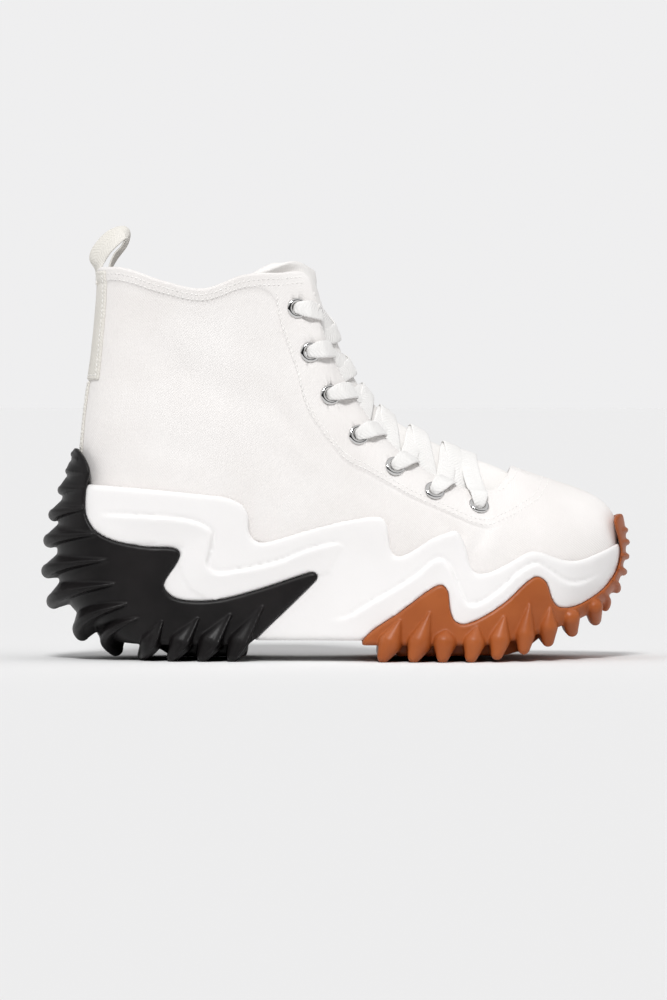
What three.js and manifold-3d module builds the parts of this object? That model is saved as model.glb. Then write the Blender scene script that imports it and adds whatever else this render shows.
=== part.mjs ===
// A canvas high-top platform sneaker for the right foot, in millimetres.
// +X points to the toe, +Y to the inner side of the foot and +Z up.
// Everything is laid out straight and even about the plane y = 0, with x measured from the
// rearmost spike. The last step, swing, bends it to the inward curve of the foot.
import * as THREE from "three";
import { ConvexGeometry } from "three/addons/geometries/ConvexGeometry.js";
import { mergeVertices } from "three/addons/utils/BufferGeometryUtils.js";
import Module from "manifold-3d";

const wasm = await Module();
wasm.setup();

// ---------------------------------------------------------------- driving sizes
const LENGTH = 300;
const WALL = 2;
const GAP = 0.35;
const INSOLE_THICKNESS = 4;
const TONGUE_THICKNESS = 3;
const OUTSOLE_PROUD = 1.8;
const OUTSOLE_SHELL = 3;
const LACE = { width: 8, thickness: 1.2 };
const EYELET = { hole: 2.9, barrel: 3.7, flange: 5.4, height: 1.2, sides: 8 };
const LOOP = { width: 13, thickness: 1.6 };
const BEYOND = 90;

// The foot's inward curve: the toe swings to the inner side and the waist to the outer side.
const SWING = { toe: 11, toeStart: 165, waist: 3, waistCentre: 140, waistSpread: 45 };

// Height of the footbed along the foot: heel seat, arch, ball and toe spring.
const FOOTBED = [
  { x: 0, z: 71 }, { x: 60, z: 70 }, { x: 100, z: 62 }, { x: 140, z: 51 },
  { x: 180, z: 42.5 }, { x: 217, z: 38.5 }, { x: 250, z: 40.5 }, { x: 275, z: 45 }, { x: LENGTH, z: 51.5 },
];

// The sole seen from above, half of it, from the heel's back to the toe.
const SOLE_OUTLINE = [
  { x: 10, y: 0 }, { x: 13.5, y: 14.5 }, { x: 24.5, y: 27 }, { x: 45, y: 35 }, { x: 72, y: 37.5 },
  { x: 105, y: 37 }, { x: 138, y: 38 }, { x: 170, y: 42.5 }, { x: 200, y: 47 }, { x: 226, y: 48 },
  { x: 250, y: 44.5 }, { x: 270, y: 37 }, { x: 284.5, y: 25.5 }, { x: 293.5, y: 13 }, { x: 296.5, y: 0 },
];

// How far back and forward the sole's wall reaches at each height, and how wide it flares there.
const SOLE_LEVELS = [
  { z: -2, back: 62, front: 262, flare: 1.05 },
  { z: 8.7, back: 41, front: 268, flare: 1.05 },
  { z: 16.4, back: 30.4, front: 276, flare: 1.04 },
  { z: 27, back: 16.5, front: 286, flare: 1.03 },
  { z: 40, back: 10.6, front: 293, flare: 1.01 },
  { z: 54, back: 10, front: 296.2, flare: 0.99 },
  { z: 66, back: 10.2, front: 296, flare: 0.985 },
  { z: 84, back: 13, front: 292, flare: 0.96 },
  { z: 108, back: 19, front: 280, flare: 0.92 },
];
const STRETCH = { heel: 85, toe: 225 };

// The white midsole from the side: its waved top edge, then the waist and the underside.
const MIDSOLE_SIDE = [
  [4, 89.5], [25.7, 88.8], [54, 86.8], [80.5, 84.4], [94.8, 82.8], [102.9, 79.3], [106, 74.2], [106.6, 64],
  [111, 60], [117, 60.6], [137.4, 67.1], [157.8, 71.8], [174, 72.2], [178, 56], [180.8, 53.1], [189.4, 56.7],
  [197, 61.7], [206.6, 65.3], [210.2, 66.3], [215.2, 58.2], [217.8, 48.1], [220.3, 44.8], [225.8, 44.8],
  [235.5, 49.1], [248.1, 55.4], [253.2, 54.9], [263.8, 51.1], [272.4, 50.6], [283, 54.3], [295.6, 59.7],
  [305, 59.7], [305, 52], [287, 32], [262, 20], [238, 13.5], [215, 10.6], [4, 10.6],
];

// The black heel outsole from the side: its swoosh, then past the lugs below and behind.
const HEEL_SIDE = [
  [18.4, 106.9], [25.7, 95.3], [24.2, 89], [23.3, 82.2], [23.7, 73.5], [28.1, 65.8], [36.8, 61], [53.3, 57.6],
  [69.7, 56.4], [71.6, 54.2], [63.4, 39.7], [63.4, 36.8], [68.7, 31.9], [80.4, 30.2], [92, 31.2],
  [111.3, 36.3], [134.5, 44], [138.9, 45], [140.8, 43], [140.4, 41.6], [108.4, 10.6], [105.5, 7.5],
  [103, -5], [-4, -5], [-4, 106.9],
];

// The gum forefoot outsole from the side: its two peaks, the toe bumper, then past the lugs.
const FOREFOOT_SIDE = [
  [162.9, 9.6], [183, 25.7], [199.8, 37.9], [203.1, 38.8], [205.9, 36], [207.3, 25.7], [209.2, 21], [212.9, 19],
  [219.5, 20.6], [234.4, 29.5], [245.7, 39.8], [250.8, 42.8], [255.5, 40.2], [258.7, 31.4], [261.6, 27.4],
  [266.2, 26.7], [271.9, 27.8], [279.3, 31.4], [285.9, 36], [292.4, 44.5], [294.6, 53.8], [293.6, 60.2],
  [291.5, 72], [304, 72], [304, -5], [165, -5],
];

// Where the sole's body is, from the side, between the lugs and above its underside.
const BODY_SIDE = [
  [-4, 120], [305, 120], [305, 46], [292, 34], [283, 25.5], [273, 20.5], [261, 16.5], [249, 13], [236, 10],
  [223, 8.3], [-4, 8.3],
];

// The white core that both outsoles wrap around, from the side.
const CORE_SIDE = [
  [14, 84], [60, 78], [170, 45], [240, 38], [293, 50], [293, 46], [284, 36], [265, 26], [240, 20], [215, 15],
  [60, 15], [36, 22], [18, 34], [12, 52], [12, 74],
];

// Lugs that wrap around the heel's back: the tip, where the ridge fades, and half the pitch.
const HEEL_SPIKES = [
  { tip: [15.7, 102], apex: [20.5, 101.5], half: 2.6 },
  { tip: [12.4, 95.3], apex: [24, 95], half: 3.2 },
  { tip: [8.8, 85.6], apex: [24, 87], half: 4.4 },
  { tip: [3.9, 73], apex: [27, 77], half: 5.6 },
  { tip: [1.5, 60], apex: [31, 64], half: 6.2 },
  { tip: [0, 44.5], apex: [36, 51], half: 7 },
  { tip: [3.4, 29], apex: [40, 39], half: 7 },
  { tip: [17.5, 12.7], apex: [46, 29], half: 6 },
];

// Lugs that run under the heel and the forefoot from side to side.
const HEEL_LUGS = [
  { tip: [33.9, 5.5], apex: [51, 22], half: 6 },
  { tip: [54.2, 0], apex: [62.5, 20], half: 6.4 },
  { tip: [67.3, 0], apex: [80.4, 21.5], half: 6.6 },
  { tip: [81.8, 0], apex: [96.8, 23.5], half: 7 },
  { tip: [97, 0], apex: [113, 27.6], half: 6.8 },
];
const FOREFOOT_LUGS = [
  { tip: [173, 0], apex: [182.5, 21], half: 7 },
  { tip: [188.6, 0], apex: [197.3, 24.8], half: 7.2 },
  { tip: [203.5, 0], apex: [205.2, 15.8], half: 6.8 },
  { tip: [217.1, 0], apex: [221, 17.6], half: 6.4 },
  { tip: [229.7, 1.5], apex: [234.4, 23], half: 6.2 },
  { tip: [242.8, 4], apex: [246.8, 29], half: 6 },
  { tip: [254.5, 7.5], apex: [257, 27.2], half: 5.8 },
  { tip: [266.7, 12], apex: [266.9, 24.5], half: 5.6 },
  { tip: [278.4, 17], apex: [278.6, 28.5], half: 5 },
];

// Lugs that wrap around the toe.
const TOE_LUGS = [
  { tip: [289.5, 25.8], apex: [284, 34], half: 3.8 },
  { tip: [295.3, 34.9], apex: [288, 40.7], half: 3.6 },
  { tip: [298.6, 43.7], apex: [291, 46], half: 3.2 },
  { tip: [299.8, 51.6], apex: [293, 52.5], half: 2.9 },
  { tip: [LENGTH, 58.9], apex: [294, 59.2], half: 2.7 },
  { tip: [299.2, 65], apex: [294, 65.2], half: 2.3 },
];

// The upper in columns from the sole's edge to the collar or throat edge, from the heel's back
// to the toe. feather and edge are the column's ends, and low and high steer its curve between them.
const UPPER = [
  { feather: [23.5, 0], low: [13, 0, 105], high: [30, 0, 150], edge: [29.3, 0, 197.2] },
  { feather: [28, 13.5], low: [19.5, 15.5, 105], high: [33.5, 13, 150], edge: [33, 12, 197.6] },
  { feather: [39.5, 24], low: [35, 27, 106], high: [43, 21.5, 150], edge: [44, 21.5, 196.8] },
  { feather: [58, 30], low: [56, 33, 107], high: [61, 25.5, 150], edge: [62.5, 27.5, 190.5] },
  { feather: [80, 32], low: [79, 35, 103], high: [83, 26.5, 148], edge: [83, 29, 186.5] },
  { feather: [102, 32], low: [102, 35.5, 98], high: [105, 27, 147], edge: [103, 28.5, 193.2] },
  { feather: [124, 33], low: [125, 36.2, 90], high: [122, 27.9, 146], edge: [120.5, 25, 194.5] },
  { feather: [147, 35], low: [149, 39, 82], high: [141, 29.4, 143], edge: [135.8, 17.5, 193.2] },
  { feather: [158, 36], low: [160, 40.2, 77.5], high: [151, 31.2, 131], edge: [142, 17.8, 170] },
  { feather: [169, 37.5], low: [172, 41.8, 73], high: [161, 33, 120], edge: [149.5, 18.5, 149.5] },
  { feather: [190, 41], low: [193, 45, 64], high: [182, 37, 101], edge: [171.5, 21, 115.5] },
  { feather: [210, 43.5], low: [213, 47, 57], high: [203, 40, 88], edge: [193.5, 23, 97] },
  { feather: [229, 43.5], low: [231, 46.5, 55], high: [224, 39, 80], edge: [213, 24, 87] },
  { feather: [247, 40], low: [249, 43, 57], high: [241, 33, 78], edge: [229, 20.5, 86] },
  { feather: [264, 34], low: [267, 36.5, 62], high: [256, 24.5, 80], edge: [236.5, 13, 92] },
  { feather: [279, 24.5], low: [283, 26, 70], high: [267, 15, 82.5], edge: [239, 6.5, 96.4] },
  { feather: [289, 13], low: [294.5, 13.5, 81], high: [274.5, 7.5, 83], edge: [239.6, 3.2, 97.6] },
  { feather: [292.5, 0], low: [298.5, 0, 87], high: [278, 0, 83], edge: [239.8, 0, 98] },
];
const TOE = UPPER.length - 1;

// The tongue in rows from its top to its end under the vamp. Each row starts inside the upper
// at station side, passes under the facing's edge at station facing, and rises to its crest.
const TONGUE = [
  { side: 5.3, sideUp: 1.005, facing: 6.95, facingUp: 1.042, crest: [137.2, 198.2] },
  { side: 5.5, sideUp: 0.93, facing: 7.3, facingUp: 1.02, crest: [141.5, 184] },
  { side: 6.1, sideUp: 0.87, facing: 8, facingUp: 1.03, crest: [147.5, 168] },
  { side: 7.3, sideUp: 0.85, facing: 9.1, facingUp: 1.03, crest: [157.5, 145.5] },
  { side: 9.2, sideUp: 0.85, facing: 10.1, facingUp: 1.03, crest: [172, 126.5] },
  { side: 10.4, sideUp: 0.84, facing: 11.1, facingUp: 1.03, crest: [192, 114] },
  { side: 11.6, sideUp: 0.83, facing: 12.2, facingUp: 1.03, crest: [212, 104.5] },
  { side: 12.8, sideUp: 0.82, facing: 13.2, facingUp: 1, crest: [230, 98] },
  { side: 13.7, sideUp: 0.82, facing: 14.3, facingUp: 0.92, crest: [243, 91.8] },
  { side: 14.3, sideUp: 0.8, facing: 15, facingUp: 0.86, crest: [251, 87.8] },
];

// Eyelet centres from the side, from the collar down to the vamp.
const EYELETS = [
  [130.3, 177.8], [137, 155.5], [147.2, 134.1], [161.5, 113.9], [179.7, 98], [199.6, 85.8], [222, 78.5],
];

// The pull tape from the side: up the back seam, over in a loop and down inside the collar.
const PULL_TAPE = [
  [23.6, 143], [26.2, 172], [27.6, 196], [24.4, 203], [29.5, 212], [38, 217.8], [43, 215.6],
  [41.5, 209], [35.6, 203.5], [34.6, 198], [34.3, 188],
];

// ---------------------------------------------------------------- colours and finish
const finish = (color, roughness, metalness = 0) => new THREE.MeshStandardMaterial({ color, roughness, metalness });
const CANVAS = finish(0xece8e4, 0.9);
const WHITE_RUBBER = finish(0xf6f5f3, 0.55);
const BLACK_RUBBER = finish(0x232021, 0.5);
const GUM_RUBBER = finish(0xbe6e3a, 0.5);
const LINING = finish(0xe6e0d6, 0.95);
const LACE_WEAVE = finish(0xf4f3f1, 0.85);
const NICKEL = finish(0xb8b8ba, 0.25, 1);
const TAPE = finish(0xe9e4d8, 0.9);

// ---------------------------------------------------------------- solids
function closedMesh(vertices, triangles) {
  const geometry = new THREE.BufferGeometry();
  geometry.setAttribute("position", new THREE.Float32BufferAttribute(vertices.flat(), 3));
  geometry.setIndex(triangles.flat());
  return geometry;
}

function solid(geometry) {
  const bare = geometry.clone();
  bare.deleteAttribute("normal");
  bare.deleteAttribute("uv");
  const merged = mergeVertices(bare, 1e-4);
  const vertProperties = new Float32Array(merged.attributes.position.array);
  const triVerts = new Uint32Array(merged.index.array);
  return new wasm.Manifold(new wasm.Mesh({ numProp: 3, vertProperties, triVerts }));
}

function geometryOf(body) {
  const { vertProperties, triVerts } = body.getMesh();
  const geometry = new THREE.BufferGeometry();
  geometry.setAttribute("position", new THREE.BufferAttribute(vertProperties, 3));
  geometry.setIndex(new THREE.BufferAttribute(triVerts, 1));
  return geometry;
}

// A cut between grazing faces can leave splinters of no volume, so only the largest body is kept.
function withoutSplinters(body) {
  return body.decompose().reduce((largest, piece) => (piece.volume() > largest.volume() ? piece : largest));
}

function joined(bodies) {
  return bodies.reduce((whole, body) => whole.add(body));
}

// The two triangles between neighbouring points a, b of one ring and c, d of the next.
function quad(a, b, c, d) {
  return [[a, b, d], [a, d, c]];
}

function skin(count, rings) {
  const triangles = [];
  for (const [lower, upper] of rings) {
    for (let i = 0; i < count; i += 1) {
      const next = (i + 1) % count;
      triangles.push(...quad(lower * count + i, lower * count + next, upper * count + i, upper * count + next));
    }
  }
  return triangles;
}

// A ring closed across its middle, where point i lies opposite point count - shift - i.
function ladder(count, first, shift, faceUp) {
  const triangles = [];
  const add = (a, b, c) => {
    if (a !== b && b !== c && a !== c) triangles.push(faceUp ? [a, b, c] : [c, b, a]);
  };
  const opposite = (i) => first + ((count - shift - i) % count);
  for (let i = 0; i < Math.floor(count / 2); i += 1) {
    add(first + i, first + i + 1, opposite(i + 1));
    add(first + i, opposite(i + 1), opposite(i));
  }
  return triangles;
}

// Rings from the bottom to the top, each anticlockwise seen from the top, closed at both ends.
function stack(rings, shift = 0) {
  const count = rings[0].length;
  const top = rings.length - 1;
  const pairs = rings.slice(1).map((ring, i) => [i, i + 1]);
  const triangles = [
    ...skin(count, pairs), ...ladder(count, 0, shift, false), ...ladder(count, top * count, shift, true),
  ];
  return closedMesh(rings.flat(), triangles);
}

// Rings that lead around a wall and back to the first.
function sleeve(rings) {
  const pairs = rings.map((ring, i) => [i, (i + 1) % rings.length]);
  return closedMesh(rings.flat(), skin(rings[0].length, pairs));
}

// A side outline in x and z, drawn clockwise, carried across the shoe.
function sidePrism(points, halfWidth = BEYOND) {
  const shape = new THREE.Shape(points.map(([x, z]) => new THREE.Vector2(x, z)));
  const geometry = new THREE.ExtrudeGeometry(shape, { depth: 2 * halfWidth, bevelEnabled: false });
  geometry.rotateX(Math.PI / 2);
  geometry.translate(0, halfWidth, 0);
  return solid(geometry);
}

// A clockwise outline moved outward by distance, each corner along its mitre.
function grown(points, distance) {
  return points.map((point, i) => {
    const before = points[(i + points.length - 1) % points.length];
    const after = points[(i + 1) % points.length];
    const first = new THREE.Vector2(before[1] - point[1], point[0] - before[0]).normalize();
    const second = new THREE.Vector2(point[1] - after[1], after[0] - point[0]).normalize();
    const mitre = first.clone().add(second).normalize();
    const reach = Math.min(distance / Math.max(mitre.dot(first), 0.5), 2 * Math.abs(distance));
    return [point[0] + mitre.x * reach, point[1] + mitre.y * reach];
  });
}

// ---------------------------------------------------------------- curves through tables
function catmullRom(a, b, c, d, t) {
  const slope = (c - a) / 2;
  const nextSlope = (d - b) / 2;
  const bend = 3 * (c - b) - 2 * slope - nextSlope;
  const twist = 2 * (b - c) + slope + nextSlope;
  return b + t * (slope + t * (bend + t * twist));
}

// A row's point, where rows past either end repeat across the plane y = 0.
function rowPoint(rows, pick, index) {
  const last = rows.length - 1;
  const inside = Math.abs(index > last ? 2 * last - index : index);
  const [x, y, z] = pick(rows[inside]);
  return [x, inside === index ? y : -y, z];
}

function between(rows, pick, station) {
  const start = Math.min(Math.floor(station), rows.length - 2);
  const near = [-1, 0, 1, 2].map((step) => rowPoint(rows, pick, start + step));
  return [0, 1, 2].map((axis) => catmullRom(...near.map((point) => point[axis]), station - start));
}

// Straight from row to row of a table, by the column named key.
function blendRows(rows, key, value) {
  const next = Math.max(1, Math.min(rows.length - 1, rows.findIndex((row) => row[key] > value)));
  const index = value >= rows[rows.length - 1][key] ? rows.length - 1 : next;
  const [low, high] = [rows[index - 1], rows[index]];
  const t = (value - low[key]) / (high[key] - low[key]);
  return (column) => low[column] + (high[column] - low[column]) * t;
}

const footbed = (x) => blendRows(FOOTBED, "x", x)("z");

// Stations run from 0 at the heel's back along the outer side to last at the toe,
// and back along the inner side to 2 * last.
function sided(station, last) {
  const inner = station > last;
  return { half: inner ? 2 * last - station : station, side: inner ? 1 : -1 };
}

// ---------------------------------------------------------------- the sole's form
const SOLE_END = SOLE_OUTLINE.length - 1;

function solePlan(station) {
  const { half, side } = sided(station, SOLE_END);
  const [x, y] = between(SOLE_OUTLINE, (row) => [row.x, row.y, 0], half);
  return new THREE.Vector2(x, side * y);
}

function soleWall(station, z, proud) {
  const step = 0.05;
  const lap = 2 * SOLE_END;
  const point = solePlan(station);
  const along = solePlan((station + step) % lap).sub(solePlan((station + lap - step) % lap)).normalize();
  const level = blendRows(SOLE_LEVELS, "z", z);
  let x = point.x;
  if (x < STRETCH.heel) {
    const reach = (STRETCH.heel - level("back")) / (STRETCH.heel - SOLE_OUTLINE[0].x);
    x = STRETCH.heel - (STRETCH.heel - x) * reach;
  } else if (x > STRETCH.toe) {
    const reach = (level("front") - STRETCH.toe) / (SOLE_OUTLINE[SOLE_END].x - STRETCH.toe);
    x = STRETCH.toe + (x - STRETCH.toe) * reach;
  }
  return [x + along.y * proud, point.y * level("flare") - along.x * proud, z];
}

function soleForm(proud, perStation = 1.5) {
  const count = 2 * SOLE_END * perStation;
  const rings = SOLE_LEVELS.map(({ z }) => {
    return Array.from({ length: count }, (_, i) => soleWall(i / perStation, z, proud));
  });
  return solid(stack(rings));
}

// The station on the outer side where the sole's wall has this x.
function soleStation(x, z) {
  let [low, high] = [0, SOLE_END];
  for (let i = 0; i < 30; i += 1) {
    const middle = (low + high) / 2;
    if (soleWall(middle, z, 0)[0] < x) low = middle;
    else high = middle;
  }
  return (low + high) / 2;
}

// ---------------------------------------------------------------- lugs
// One lug is a ridge: a ring of four points (one foot, the crest, the other foot, the root inside
// the sole) carried from where the ridge fades on the outer side to the same place on the inner side.
function ridge(halfRings) {
  const mirrored = halfRings.slice(0, -1).reverse().map((ring) => ring.map(([x, y, z]) => [x, -y, z]));
  const rings = [...halfRings, ...mirrored];
  const stretches = rings.slice(1).map((ring, i) => {
    return solid(new ConvexGeometry([...rings[i], ...ring].map((point) => new THREE.Vector3(...point))));
  });
  return joined(stretches);
}

const mix = (from, to, t) => from + (to - from) * t;

// A lug around the heel's back or the toe, whose centre station is middle.
function wrappedLug({ tip, apex, half }, middle) {
  const start = soleStation(apex[0], apex[1]);
  const depth = Math.abs(soleWall(middle, tip[1], 0)[0] - tip[0]);
  const rings = [0, 0.36, 0.72, 1].map((t) => {
    const station = mix(start, middle, t);
    const z = mix(apex[1], tip[1], t);
    const foot = half * mix(0.15, 1, Math.sqrt(t));
    const crest = mix(OUTSOLE_PROUD * 0.9, depth, t ** 0.8);
    return [
      soleWall(station, z + foot, OUTSOLE_PROUD * 0.6),
      soleWall(station, z, crest),
      soleWall(station, z - foot, OUTSOLE_PROUD * 0.6),
      soleWall(station, z, -2.2),
    ];
  });
  return ridge(rings);
}

// A lug under the sole. Its crest comes down the side from its apex, turns in at the tip and crosses.
function crossingLug({ tip, apex, half }) {
  const base = tip[1] + 9.5;
  const lean = (tip[0] - apex[0]) / Math.max(apex[1] - base, 4);
  const side = (t, proud, halfFoot) => {
    const z = mix(apex[1], base - 3, t);
    const x = mix(apex[0], tip[0] - lean * 0.5, t);
    const at = (shift, out) => soleWall(soleStation(x + shift, z), z, out);
    return [at(-halfFoot, 0.9), at(0, proud), at(halfFoot, 0.9), at(0, -2)];
  };
  const under = (share) => {
    const y = soleWall(soleStation(tip[0], base), base, 0)[1] * share;
    return [[tip[0] - half, y, base], [tip[0], y, tip[1] - 1.6], [tip[0] + half, y, base], [tip[0], y, base + 2.5]];
  };
  const rings = [side(0, 1.6, 0.5), side(0.5, 4, half * 0.7), side(0.95, 4, half * 0.95), under(0.92), under(0)];
  return ridge(rings);
}

// ---------------------------------------------------------------- the upper's form
function bezier(a, b, c, d, t) {
  const s = 1 - t;
  return s * s * s * a + 3 * s * s * t * b + 3 * s * t * t * c + t * t * t * d;
}

function upperSurface(station, up) {
  const { half, side } = sided(station, TOE);
  const feather = between(UPPER, ({ feather: [x, y] }) => [x, y, footbed(x)], half);
  const low = between(UPPER, (row) => row.low, half);
  const high = between(UPPER, (row) => row.high, half);
  const edge = between(UPPER, (row) => row.edge, half);
  const [x, y, z] = [0, 1, 2].map((axis) => bezier(feather[axis], low[axis], high[axis], edge[axis], up));
  return new THREE.Vector3(x, side * y, z);
}

function upperNormal(station, up) {
  const step = 0.02;
  const lap = 2 * TOE;
  const along = upperSurface((station + step) % lap, up).sub(upperSurface((station + lap - step) % lap, up));
  const rising = upperSurface(station, up + step).sub(upperSurface(station, up - step));
  return along.cross(rising).normalize();
}

// A point of the upper's outer surface moved outward by proud.
function upperPoint(station, up, proud) {
  return upperSurface(station, up).addScaledVector(upperNormal(station, up), proud).toArray();
}

const COLUMNS = 3 * TOE;

function upperRing(up, proud) {
  return Array.from({ length: COLUMNS }, (_, i) => upperPoint((2 * TOE * i) / COLUMNS, up, proud));
}

// The space that the upper fills below the collar, for cutting its seat in the sole.
function upperForm(proud) {
  const seat = upperRing(0, proud).map(([x, y, z]) => [x, y, z - proud]);
  const rings = [0.07, 0.15, 0.24, 0.34, 0.45, 0.56].map((up) => upperRing(up, proud));
  return solid(stack([seat, ...rings]));
}

// The station and height where the upper has this x and z from the side.
function findOnUpper(x, z) {
  let best = { station: 10, up: 0.8, far: Infinity };
  for (let reach = 4; reach > 0.002; reach *= 0.6) {
    const centre = best;
    for (let i = -4; i <= 4; i += 1) {
      for (let j = -4; j <= 4; j += 1) {
        const station = centre.station + (reach * i) / 4;
        const up = Math.min(1, centre.up + (reach * j) / 40);
        const point = upperSurface(station, up);
        const far = Math.hypot(point.x - x, point.z - z);
        if (far < best.far) best = { station, up, far };
      }
    }
  }
  return best;
}

// ---------------------------------------------------------------- sole pieces
const upperSeat = upperForm(GAP);
const floorUp = sidePrism([[-50, 0], [-50, 150], [400, 150], [400, 0]]);

function outsole(side, lugs) {
  const body = soleForm(OUTSOLE_PROUD).intersect(sidePrism(BODY_SIDE));
  const core = soleForm(-OUTSOLE_SHELL, 1).intersect(sidePrism(CORE_SIDE));
  const whole = joined([body, ...lugs]).intersect(sidePrism(side)).intersect(floorUp);
  return withoutSplinters(whole.subtract(core).subtract(upperSeat));
}

function heelOutsole() {
  const lugs = [...HEEL_SPIKES.map((row) => wrappedLug(row, 0)), ...HEEL_LUGS.map(crossingLug)];
  return outsole(HEEL_SIDE, lugs);
}

function forefootOutsole() {
  const lugs = [...FOREFOOT_LUGS.map(crossingLug), ...TOE_LUGS.map((row) => wrappedLug(row, SOLE_END))];
  return outsole(FOREFOOT_SIDE, lugs);
}

function midsole() {
  const block = soleForm(0).intersect(sidePrism(MIDSOLE_SIDE));
  const bare = block.subtract(sidePrism(grown(HEEL_SIDE, GAP))).subtract(sidePrism(grown(FOREFOOT_SIDE, GAP)));
  const core = soleForm(-OUTSOLE_SHELL - GAP, 1).intersect(sidePrism(grown(CORE_SIDE, -GAP)));
  return bare.add(core).subtract(upperSeat);
}

function insole() {
  const plan = upperRing(0, -WALL - 2 * GAP);
  const ring = (rise) => plan.map(([x, y]) => [x, y, footbed(x) + rise]);
  return solid(stack([ring(GAP), ring(GAP + INSOLE_THICKNESS)]));
}

// ---------------------------------------------------------------- upper, tongue
// The throat edge's station nearest to a spot on the facing.
function nearestEdge({ station, up }) {
  const spot = upperSurface(station, up);
  const stations = Array.from({ length: 141 }, (_, i) => 7 + i / 20);
  const far = (candidate) => upperSurface(candidate, 1).distanceTo(spot);
  return stations.reduce((best, candidate) => (far(candidate) < far(best) ? candidate : best));
}

const eyeletSpots = EYELETS.map(([x, z]) => findOnUpper(x, z)).map((spot) => ({ ...spot, edge: nearestEdge(spot) }));

// Turns and moves a geometry drawn around +Z so that +Z leaves the upper at a spot.
function setOnUpper(geometry, { station, up }, side) {
  const seat = side < 0 ? station : 2 * TOE - station;
  const turn = new THREE.Quaternion().setFromUnitVectors(new THREE.Vector3(0, 0, 1), upperNormal(seat, up));
  return geometry.applyQuaternion(turn).translate(...upperSurface(seat, up).toArray());
}

function upper() {
  const heights = [0, 0.17, 0.36, 0.57, 0.79, 1];
  const outer = heights.map((up) => upperRing(up, 0));
  const inner = heights.map((up) => upperRing(up, -WALL)).reverse();
  const holes = [-1, 1].flatMap((side) => eyeletSpots.map((spot) => {
    const punch = new THREE.CylinderGeometry(EYELET.barrel + GAP, EYELET.barrel + GAP, 4 * WALL, EYELET.sides);
    return solid(setOnUpper(punch.rotateX(Math.PI / 2), spot, side));
  }));
  return holes.reduce((body, hole) => body.subtract(hole), solid(sleeve([...outer, ...inner])));
}

function tongueRow(position) {
  const value = (key) => between(TONGUE, (row) => [row[key], 0, 0], position)[0];
  const [crestX, , crestZ] = between(TONGUE, ({ crest: [x, z] }) => [x, 0, z], position);
  const below = -WALL - 6.5 * GAP;
  const edge = upperPoint(value("side"), value("sideUp"), below);
  const facing = upperPoint(value("facing"), value("facingUp"), below);
  return { edge, facing, crest: [crestX, 0, crestZ] };
}

// A point of the tongue's outer face. across runs from -2 at one edge, -1 under the facing's
// edge and 0 at the crest to 2 at the other edge.
function tongueSurface(position, across) {
  const { edge, facing, crest } = tongueRow(position);
  const flip = ([x, y, z]) => [x, -y, z];
  const row = [edge, facing, crest, flip(facing), flip(edge)];
  const place = Math.min(Math.max(across + 2, 0), 4);
  const start = Math.min(Math.floor(place), 3);
  const near = [-1, 0, 1, 2].map((step) => row[Math.min(Math.max(start + step, 0), 4)]);
  const point = [0, 1, 2].map((axis) => catmullRom(...near.map((p) => p[axis]), place - start));
  return new THREE.Vector3(...point);
}

function tongueNormal(position, across) {
  const step = 0.05;
  const last = TONGUE.length - 1;
  const [before, after] = [Math.max(position - step, 0), Math.min(position + step, last)];
  const down = tongueSurface(after, across).sub(tongueSurface(before, across));
  const over = tongueSurface(position, across + step).sub(tongueSurface(position, across - step));
  return over.cross(down).normalize().negate();
}

function tonguePoint(position, across, proud) {
  return tongueSurface(position, across).addScaledVector(tongueNormal(position, across), proud).toArray();
}

function tongue() {
  const crossings = [-1.95, -1.5, -1, -0.5, 0, 0.5, 1, 1.5, 1.95];
  const rings = Array.from({ length: 2 * TONGUE.length - 1 }, (_, i) => [
    ...crossings.toReversed().map((across) => tonguePoint(i / 2, across, 0)),
    ...crossings.map((across) => tonguePoint(i / 2, across, -TONGUE_THICKNESS)),
  ]);
  return solid(stack(rings, 1));
}

// ---------------------------------------------------------------- laces, eyelets, pull loop
function eyelet(spot, side) {
  const { hole, barrel, flange, height, sides } = EYELET;
  const [bottom, seat] = [-WALL - GAP, 2 * GAP];
  const profile = [[hole, bottom], [barrel, bottom], [barrel, seat], [flange, seat], [hole, seat + height]];
  const points = [...profile, profile[0]].map(([r, z]) => new THREE.Vector2(r, z));
  const ring = new THREE.LatheGeometry(points, sides).rotateX(Math.PI / 2);
  return solid(setOnUpper(ring, spot, side));
}

// A flat strap along places, each with its point and the direction that its face looks.
function strap(places) {
  const rings = places.map(({ point, face }, i) => {
    const before = places[Math.max(i - 1, 0)].point;
    const after = places[Math.min(i + 1, places.length - 1)].point;
    const across = face.clone().cross(after.clone().sub(before)).normalize();
    const corner = (sideways, out) => {
      const at = point.clone().addScaledVector(across, sideways * LACE.width * 0.5);
      return at.addScaledVector(face, out * LACE.thickness * 0.5).toArray();
    };
    return [corner(-1, -1), corner(-1, 1), corner(1, 1), corner(1, -1)].toReversed();
  });
  return solid(stack(rings, 1));
}

// A place over the tongue between the facings, at a station of the throat's edge.
function overTongue(edge, across, proud) {
  const row = blendRows(TONGUE.map((columns, i) => ({ ...columns, i })), "facing", edge)("i");
  const face = tongueNormal(row, across);
  return { point: tongueSurface(row, across).addScaledVector(face, proud), face };
}

// A place over the facing, from an eyelet's spot (0) to the throat's edge (1).
function overFacing(spot, share, proud, side) {
  const station = mix(spot.station, spot.edge, share);
  const up = mix(spot.up, 1, share);
  const seat = side < 0 ? station : 2 * TOE - station;
  const face = upperNormal(seat, up);
  return { point: upperSurface(seat, up).addScaledVector(face, proud), face };
}

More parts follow.
